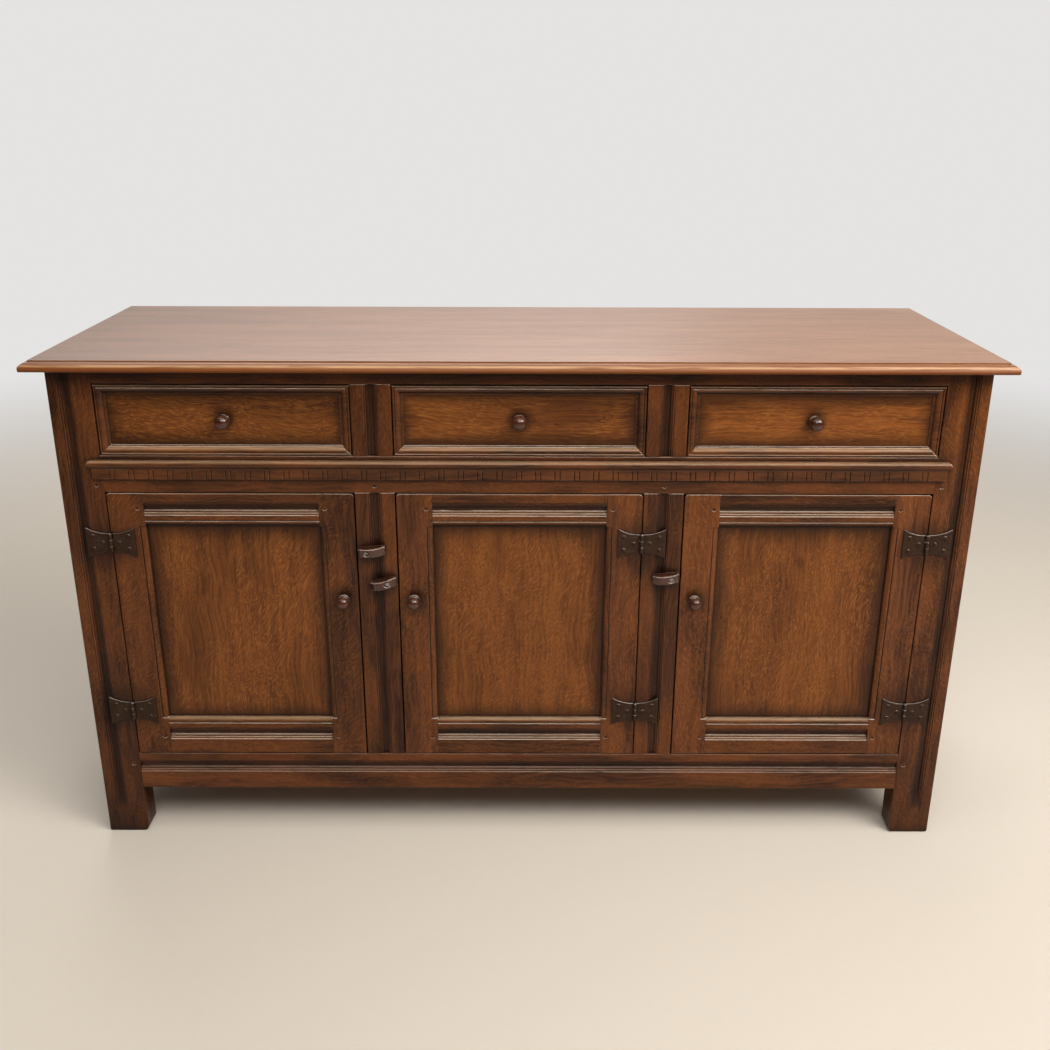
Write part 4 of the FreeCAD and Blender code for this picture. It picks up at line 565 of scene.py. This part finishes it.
class DRESSER_OT_carcass(Operator):
    """Finishes posts, rails, muntins, mouldings, sides and pegs"""

    bl_idname = "dresser.carcass"
    bl_label = "Carcass"

    def execute(self, context):
        wood = settings_of(context).wood
        dark, light = colours(wood, "frame")
        low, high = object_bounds()
        # Darker towards the floor
        darker_towards_floor = (low, high + Vector((0.0, 0.0, 1.0)), "Z", 0.30, 0.62)
        post_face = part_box("front_post_left")[0].y
        muntin_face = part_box("lower_muntins")[0].y
        dress(["front_post_left", "back_posts"],
              oak("post_oak_left", wood, "Z", dark, light, 0.22, 0.5, seed=0.7, frames=[darker_towards_floor],
                  halos=hinge_spots("left"), face=post_face))
        # Lighter than the left post: partly stain, partly painted light falling from the right
        dress(["front_post_right"],
              oak("post_oak_right", wood, "Z", scaled(dark, RIGHT_POST_STAIN_AND_LIGHT_SHARE), scaled(light, RIGHT_POST_STAIN_AND_LIGHT_SHARE),
                  0.30, -0.5, seed=1.9, frames=[darker_towards_floor], halos=hinge_spots("right"), face=post_face))
        handled = [spot("turn_button_" + bay, BUTTON_HALO) for bay in BAYS]
        dress(["upper_muntins", "lower_muntins"],
              oak("muntin_oak", wood, "Z", dark, light, 0.2, 0.4, seed=2.6, face=muntin_face,
                  halos=hinge_spots("middle") + handled))
        dress(["front_top_rail", "waist_rail"], oak("upper_rail_oak", wood, "X", dark, light, 0.15, 0.3, seed=3.1))
        dress(["bottom_rail"],
              oak("bottom_rail_oak", wood, "X", scaled(dark, BOTTOM_RAIL_SHARE), scaled(light, BOTTOM_RAIL_SHARE),
                  0.15, 0.3, seed=4.3, wear_and_highlight=0.5, face=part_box("bottom_rail")[0].y))
        # Upper faces lighter as a pale gold painted highlight, undersides darker as painted shade
        dress(["waist_moulding"],
              oak("moulding_oak", wood, "X", dark, light, 0.1, 0.2, seed=5.2, wear_and_highlight=1.3, gloss=0.30, grime_and_shade=0.50,
                  painted_relief=0.42, upper_light_colour=wood.moulding_highlight))
        calm = scaled(dark, SIDE_STREAK_SHARE)
        dress(["side_rails"], oak("side_rail_oak", wood, "Y", calm, light, 0.15, 0.3, "X", seed=6.1))
        dress(["side_panels"], oak("side_panel_oak", wood, "Z", calm, light, 0.3, 0.4, "X", seed=7.4))
        dress(["frame_pegs"],
              oak("peg_oak", wood, "Y", dark, light, 0.0, streak=0.003, seed=8.0, mellow=0.0, wear_and_highlight=0.0))
        return {"FINISHED"}


class DRESSER_OT_insides(Operator):
    """Finishes the unpolished boards: back, floor, runners and drawer boxes"""

    bl_idname = "dresser.insides"
    bl_label = "Unpolished boards"

    def execute(self, context):
        wood = settings_of(context).wood
        dark, light = colours(wood, "inside")
        plain = {"roughness": 0.62, "gloss": 0.0, "wear_and_highlight": 0.3, "grime_and_shade": 0.7, "mellow": 0.0, "painted_relief": 0.0}
        dress(["floor_boards", "floor_cleats", "back_rails"],
              oak("bare_oak_across", wood, "X", dark, light, 0.1, 0.3, "Z", seed=1.2, **plain))
        dress(["drawer_runners", "drawer_guides", "drawer_kickers"],
              oak("bare_oak_back", wood, "Y", dark, light, 0.1, 0.3, "Z", seed=2.2, **plain))
        dress(["back_panel"], oak("bare_oak_upright", wood, "Z", dark, light, 0.15, 0.3, seed=3.3, **plain))
        for index, bay in enumerate(BAYS):
            sides = oak("drawer_box_oak_" + bay, wood, "Y", dark, light, 0.2, 0.3, "X", seed=4.0 + index, **plain)
            dress(["drawer_box_" + bay], sides)
            bottom = oak("drawer_bottom_oak_" + bay, wood, "X", dark, light, 0.2, 0.3, "Z", seed=5.5 + index,
                         **plain)
            dress(["drawer_bottom_" + bay], bottom)
        return {"FINISHED"}


class DRESSER_OT_drawers(Operator):
    """Finishes drawer fronts and their mitred mouldings"""

    bl_idname = "dresser.drawers"
    bl_label = "Drawer fronts"

    def execute(self, context):
        wood = settings_of(context).wood
        dark, light = colours(wood, "field")
        strip_dark, strip_light = colours(wood, "frame")
        for index, bay in enumerate(BAYS):
            low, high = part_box("drawer_moulding_" + bay)
            margin = Vector((DRAWER_MARGIN, 0.0, DRAWER_MARGIN))
            knob_low, knob_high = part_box("drawer_knob_" + bay)
            knob = (knob_low + knob_high) / 2
            # Fields lighter towards the right bay: partly stain, partly painted light falling from the right
            share = FIELD_STAIN_AND_LIGHT_SHARES[index]
            field = oak("drawer_field_oak_" + bay, wood, "X", scaled(dark, share), scaled(light, share), 0.58,
                        0.16 - 0.1 * index, seed=0.3 + index * 1.1, streak=0.007, swirl=0.032, ray_length=0.018,
                        frames=[(low + margin, high - margin, "XZ", 0.030, 0.88)],
                        halos=[((knob.x, low.y + 0.008, knob.z),) + DRAWER_KNOB_HALO])
            dress(["drawer_front_" + bay], field)
            # Upper faces lighter as a pale gold painted highlight, undersides darker as painted shade
            dress(["drawer_moulding_" + bay],
                  oak("drawer_moulding_oak_" + bay, wood, "X", strip_dark, strip_light, 0.1, 0.2,
                      seed=6.3 + index, wear_and_highlight=1.4, gloss=0.30, painted_relief=0.60, upper_light_colour=wood.moulding_highlight))
        return {"FINISHED"}


class DRESSER_OT_doors(Operator):
    """Finishes door stiles, rails, panels and pegs"""

    bl_idname = "dresser.doors"
    bl_label = "Doors"

    def execute(self, context):
        wood = settings_of(context).wood
        dark, light = colours(wood, "field")
        frame_dark, frame_light = colours(wood, "frame")
        dress(["door_pegs_" + bay for bay in BAYS],
              oak("door_peg_oak", wood, "Y", frame_dark, frame_light, 0.0, streak=0.003, seed=0.2, mellow=0.0,
                  wear_and_highlight=0.0))
        for index, bay in enumerate(BAYS):
            low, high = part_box("door_panel_" + bay)
            margin = Vector((PANEL_MARGIN, 0.0, PANEL_MARGIN))
            beyond = Vector((0.0, 0.0, 1.0))
            all_round = (low + margin, high - margin, "XZ", 0.034, 0.85)
            # Painted shade under the top rail
            above = (low - beyond, high - margin, "Z", 0.055, 0.45)
            panel = oak("panel_oak_" + bay, wood, "Z", dark, light, 0.48, PANEL_TURNS[index],
                        seed=2.1 + index * 1.3, streak=0.009, ray_length=PANEL_RAYS[index],
                        frames=[all_round, above])
            dress(["door_panel_" + bay], panel)
            # Stiles lighter towards the right bay: partly stain, partly painted light falling from the right
            share = STILE_STAIN_AND_LIGHT_SHARES[index]
            handled = hinge_spots(bay) + [spot("door_knob_" + bay, DOOR_KNOB_HALO)]
            stiles = oak("stile_oak_" + bay, wood, "Z", scaled(frame_dark, share), scaled(frame_light, share), 0.30,
                         0.75 - 0.5 * index, seed=3.7 + index * 0.8, halos=handled)
            dress(["door_stiles_" + bay], stiles)
            # Upper faces lighter as a pale gold painted highlight, undersides darker as painted shade
            rails = oak("door_rail_oak_" + bay, wood, "X", frame_dark, frame_light, 0.25, 0.3,
                        seed=5.1 + index * 0.9, wear_and_highlight=1.3, painted_relief=0.55, upper_light_colour=wood.moulding_highlight,
                        face=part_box("door_rails_" + bay)[0].y)
            dress(["door_rails_" + bay], rails)
        return {"FINISHED"}


class DRESSER_OT_turnery(Operator):
    """Finishes the turned knobs and the turn-buttons"""

    bl_idname = "dresser.turnery"
    bl_label = "Knobs and turn-buttons"

    def execute(self, context):
        wood = settings_of(context).wood
        dark, light = colours(wood, "turned")
        glossy = {"roughness": 0.20, "gloss": 0.9, "mirror": 0.06, "wear_and_highlight": 0.7, "mellow": 0.0, "softness": 1.8,
                  "painted_relief": 0.08}
        dress(["drawer_knob_" + bay for bay in BAYS] + ["door_knob_" + bay for bay in BAYS],
              oak("knob_wood", wood, "Y", dark, light, 0.0, streak=0.004, seed=0.8, **glossy))
        dress(["turn_button_" + bay for bay in BAYS],
              oak("turn_button_wood", wood, "X", dark, light, 0.0, streak=0.004, seed=1.6, **glossy))
        return {"FINISHED"}


class DRESSER_OT_hinges(Operator):
    """Finishes the iron butterfly hinges"""

    bl_idname = "dresser.hinges"
    bl_label = "Hinges"

    def execute(self, context):
        finish = settings_of(context).iron
        iron = blackened_iron("hinge_iron", finish, finish.iron)
        dress(["hinge_frame_leaves", "hinge_pins"] + ["door_leaves_" + bay for bay in BAYS], iron)
        return {"FINISHED"}


def slotted_head(shape, centre, finish, turn):
    """Adds one domed and slotted screw head that looks along -Y."""
    made = bmesh.ops.create_cone(shape, cap_ends=True, cap_tris=False, segments=24, radius1=finish.head_radius,
                                 radius2=finish.head_radius, depth=finish.head_height * 0.3)
    rim = finish.head_height * 0.15
    crown = max((face for face in shape.faces if all(v in made["verts"] for v in face.verts)),
                key=lambda face: face.calc_center_median().z)
    for share, lift in DOME_RINGS:
        width = finish.head_radius * share * 0.62
        grown = bmesh.ops.inset_region(shape, faces=[crown], thickness=width, depth=0.0)
        bmesh.ops.translate(shape, verts=list(crown.verts), vec=(0.0, 0.0, finish.head_height * lift * 0.68))
        made["verts"] += [v for face in grown["faces"] for v in face.verts]
    verts = list(set(made["verts"] + list(crown.verts)))
    for side in (-0.5, 0.5):
        found = [e for v in verts for e in v.link_edges] + [f for v in verts for f in v.link_faces]
        cut = bmesh.ops.bisect_plane(shape, geom=list(set(verts + found)), dist=1e-7,
                                     plane_co=(finish.slot_width * side, 0.0, 0.0), plane_no=(1.0, 0.0, 0.0))
        verts = list(set(verts + [v for v in cut["geom"] if isinstance(v, bmesh.types.BMVert)]))
    slot = {f for v in verts for f in v.link_faces
            if abs(f.calc_center_median().x) < finish.slot_width * 0.4 and f.normal.z > 0.3
            and f.calc_center_median().z > rim}
    sunk = bmesh.ops.extrude_face_region(shape, geom=list(slot))
    floor = [v for v in sunk["geom"] if isinstance(v, bmesh.types.BMVert)]
    bmesh.ops.delete(shape, geom=list(slot), context="FACES_KEEP_BOUNDARY")
    for vert in floor:
        vert.co.z = rim + finish.head_height * 0.25
    verts = list(set(verts + floor))
    place = Matrix.Translation(centre) @ Matrix.Rotation(math.pi / 2, 4, "X") @ Matrix.Rotation(turn, 4, "Z")
    bmesh.ops.transform(shape, matrix=place, verts=[v for v in verts if v.is_valid])


class DRESSER_OT_screws(Operator):
    """Makes the slotted screws of the turn-buttons"""

    bl_idname = "dresser.screws"
    bl_label = "Turn-button screws"

    def execute(self, context):
        finish = settings_of(context).iron
        low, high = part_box("button_screws")
        shape = bmesh.new()
        for bay, turn in zip(BAYS, SCREW_TURNS):
            pivot = joint_place("turn_button_%s_pivot" % bay)
            head = Vector((pivot.x, low.y + finish.head_height, pivot.z))
            single = bmesh.new()
            slotted_head(single, head, finish, turn)
            shank = bmesh.ops.create_cone(single, cap_ends=True, segments=16, radius1=SHANK_RADII[0],
                                          radius2=SHANK_RADII[1], depth=high.y - head.y)
            middle = Vector((head.x, (high.y + head.y) / 2, head.z))
            bmesh.ops.transform(single, verts=shank["verts"],
                                matrix=Matrix.Translation(middle) @ Matrix.Rotation(-math.pi / 2, 4, "X"))
            bmesh.ops.recalc_face_normals(single, faces=single.faces)
            mesh = bpy.data.meshes.new("screw_" + bay)
            single.to_mesh(mesh)
            single.free()
            shape.from_mesh(mesh)
            bpy.data.meshes.remove(mesh)
        mesh = bpy.data.meshes.new("turn_button_screws")
        shape.to_mesh(mesh)
        shape.free()
        mesh.materials.append(blackened_iron("screw_iron", finish, finish.steel, wear_and_highlight=1.2))
        screws = bpy.data.objects.new("turn_button_screws", mesh)
        context.scene.collection.objects.link(screws)
        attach(screws, "carcass")
        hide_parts("button_screws")
        return {"FINISHED"}


def soft_lamp(name, place, target, size, power, tint=(1.0, 1.0, 1.0)):
    """Hangs a soft rectangular lamp that looks at a target."""
    lamp = bpy.data.lights.new(name, "AREA")
    lamp.shape = "RECTANGLE"
    lamp.size, lamp.size_y = size
    lamp.energy = power
    lamp.color = tint
    made = bpy.data.objects.new(name, lamp)
    made.location = place
    made.rotation_euler = (Vector(target) - Vector(place)).to_track_quat("-Z", "Y").to_euler()
    bpy.context.scene.collection.objects.link(made)


def lay_floor(scene, look):
    """Lays a plain pale floor that fades into the backdrop far away."""
    shape = bmesh.new()
    bmesh.ops.create_circle(shape, cap_ends=True, segments=64, radius=FLOOR_RADIUS)
    mesh = bpy.data.meshes.new("floor")
    shape.to_mesh(mesh)
    shape.free()
    floor = bpy.data.objects.new("floor", mesh)
    scene.collection.objects.link(floor)
    floor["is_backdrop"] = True
    material, shade = new_shade("pale_floor")
    place = shade.node("TexCoord", output="Object")
    far = shade.ramp(shade.node("VectorMath", {"operation": "LENGTH"}, {0: place}, "Value"), *FLOOR_FADE)
    fine = shade.noise(shade.stretched(place, (0.02,) * 3), 3.0)
    matt = shade.node("BsdfPrincipled", None, {
        "Base Color": shade.mix(fine, rgba(scaled(look.floor, 0.97)), rgba(look.floor)), "Roughness": 0.75})
    glow = shade.node("Emission", None, {"Color": rgba(look.backdrop), "Strength": 1.0})
    seen = shade.node("LightPath", output="Is Camera Ray")
    blend = shade.node("MixShader", None, {0: far * seen, 1: matt, 2: glow})
    shade.node("OutputMaterial", None, {"Surface": blend})
    mesh.materials.append(material)


def light_room(scene, look):
    """Surrounds the object with soft light, and shows the backdrop to the camera and in reflections."""
    world = bpy.data.worlds.new("soft_room")
    world.use_nodes = True
    scene.world = world
    air = Shade(world.node_tree)
    seen = air.node("LightPath", output="Is Camera Ray")
    mirrored = air.node("LightPath", output="Is Glossy Ray")
    way = air.node("TexCoord", output="Generated")
    height = air.part(way, "Y") * 0.5 + air.part(way, "Z") + air.part(way, "X") * 0.4
    bright = air.ramp(height, 0.20, 1.00)
    strength = look.ambient + seen * (1.0 - look.ambient) + mirrored * (bright - look.ambient)
    glow = air.node("Background", None, {"Color": rgba(look.backdrop), "Strength": strength})
    air.node("OutputWorld", None, {"Surface": glow})


def set_camera(scene, look):
    """Sets the camera at the photograph's viewing angle."""
    data = bpy.data.cameras.new("camera")
    data.lens = look.lens
    data.sensor_width = SENSOR_WIDTH
    data.clip_start = 0.02
    camera = bpy.data.objects.new("camera", data)
    scene.collection.objects.link(camera)
    level = math.cos(look.camera_pitch)
    ahead = Vector((math.sin(look.camera_yaw) * level, math.cos(look.camera_yaw) * level,
                    -math.sin(look.camera_pitch)))
    right = Vector((math.cos(look.camera_yaw), -math.sin(look.camera_yaw), 0.0))
    up = right.cross(ahead)
    lean, upright = math.sin(look.camera_roll), math.cos(look.camera_roll)
    right, up = right * upright + up * lean, up * upright - right * lean
    turn = Matrix((right, up, -ahead)).transposed().to_4x4()
    camera.matrix_world = Matrix.Translation(look.camera_place) @ turn
    scene.camera = camera


class DRESSER_OT_stage(Operator):
    """Makes the floor, the lamps and the camera"""

    bl_idname = "dresser.stage"
    bl_label = "Stage"

    def execute(self, context):
        look = settings_of(context).stage
        lay_floor(context.scene, look)
        light_room(context.scene, look)
        soft_lamp("front_lamp", (0.95, -1.75, 2.3), (0.45, -0.15, 0.5), (3.4, 1.0), look.front)
        soft_lamp("overhead_lamp", (0.3, -0.62, 2.4), (0.2, -0.10, 0.6), (3.6, 0.3), look.overhead)
        soft_lamp("rear_lamp", (-0.6, 2.4, 3.0), (0.0, 0.1, 0.5), (3.0, 2.0), look.rear)
        soft_lamp("side_lamp", (2.3, -1.7, 2.7), (0.6, -0.2, 0.4), (1.8, 1.8), look.side, (1.0, 0.97, 0.93))
        set_camera(context.scene, look)
        context.scene.view_settings.view_transform = "Standard"
        return {"FINISHED"}


OPERATORS = (DRESSER_OT_stage, DRESSER_OT_top, DRESSER_OT_carcass, DRESSER_OT_insides, DRESSER_OT_drawers,
             DRESSER_OT_doors, DRESSER_OT_turnery, DRESSER_OT_hinges, DRESSER_OT_screws)


class DRESSER_PT_panel(Panel):
    """Lists the steps that finish the dresser base"""

    bl_label = "Dresser base"
    bl_idname = "DRESSER_PT_panel"
    bl_space_type = "VIEW_3D"
    bl_region_type = "UI"
    bl_category = "Dresser"

    def draw(self, context):
        for operator in OPERATORS:
            self.layout.operator(operator.bl_idname)


CLASSES = (WoodFinish, IronFinish, StageLook, DresserFinish) + OPERATORS + (DRESSER_PT_panel,)


def register():
    for cls in CLASSES:
        bpy.utils.register_class(cls)
    bpy.types.Scene.dresser_finish = PointerProperty(type=DresserFinish)


def unregister():
    del bpy.types.Scene.dresser_finish
    for cls in reversed(CLASSES):
        bpy.utils.unregister_class(cls)


def main():
    register()
    for operator in OPERATORS:
        group, action = operator.bl_idname.split(".")
        getattr(getattr(bpy.ops, group), action)()


if __name__ == "__main__":
    main()
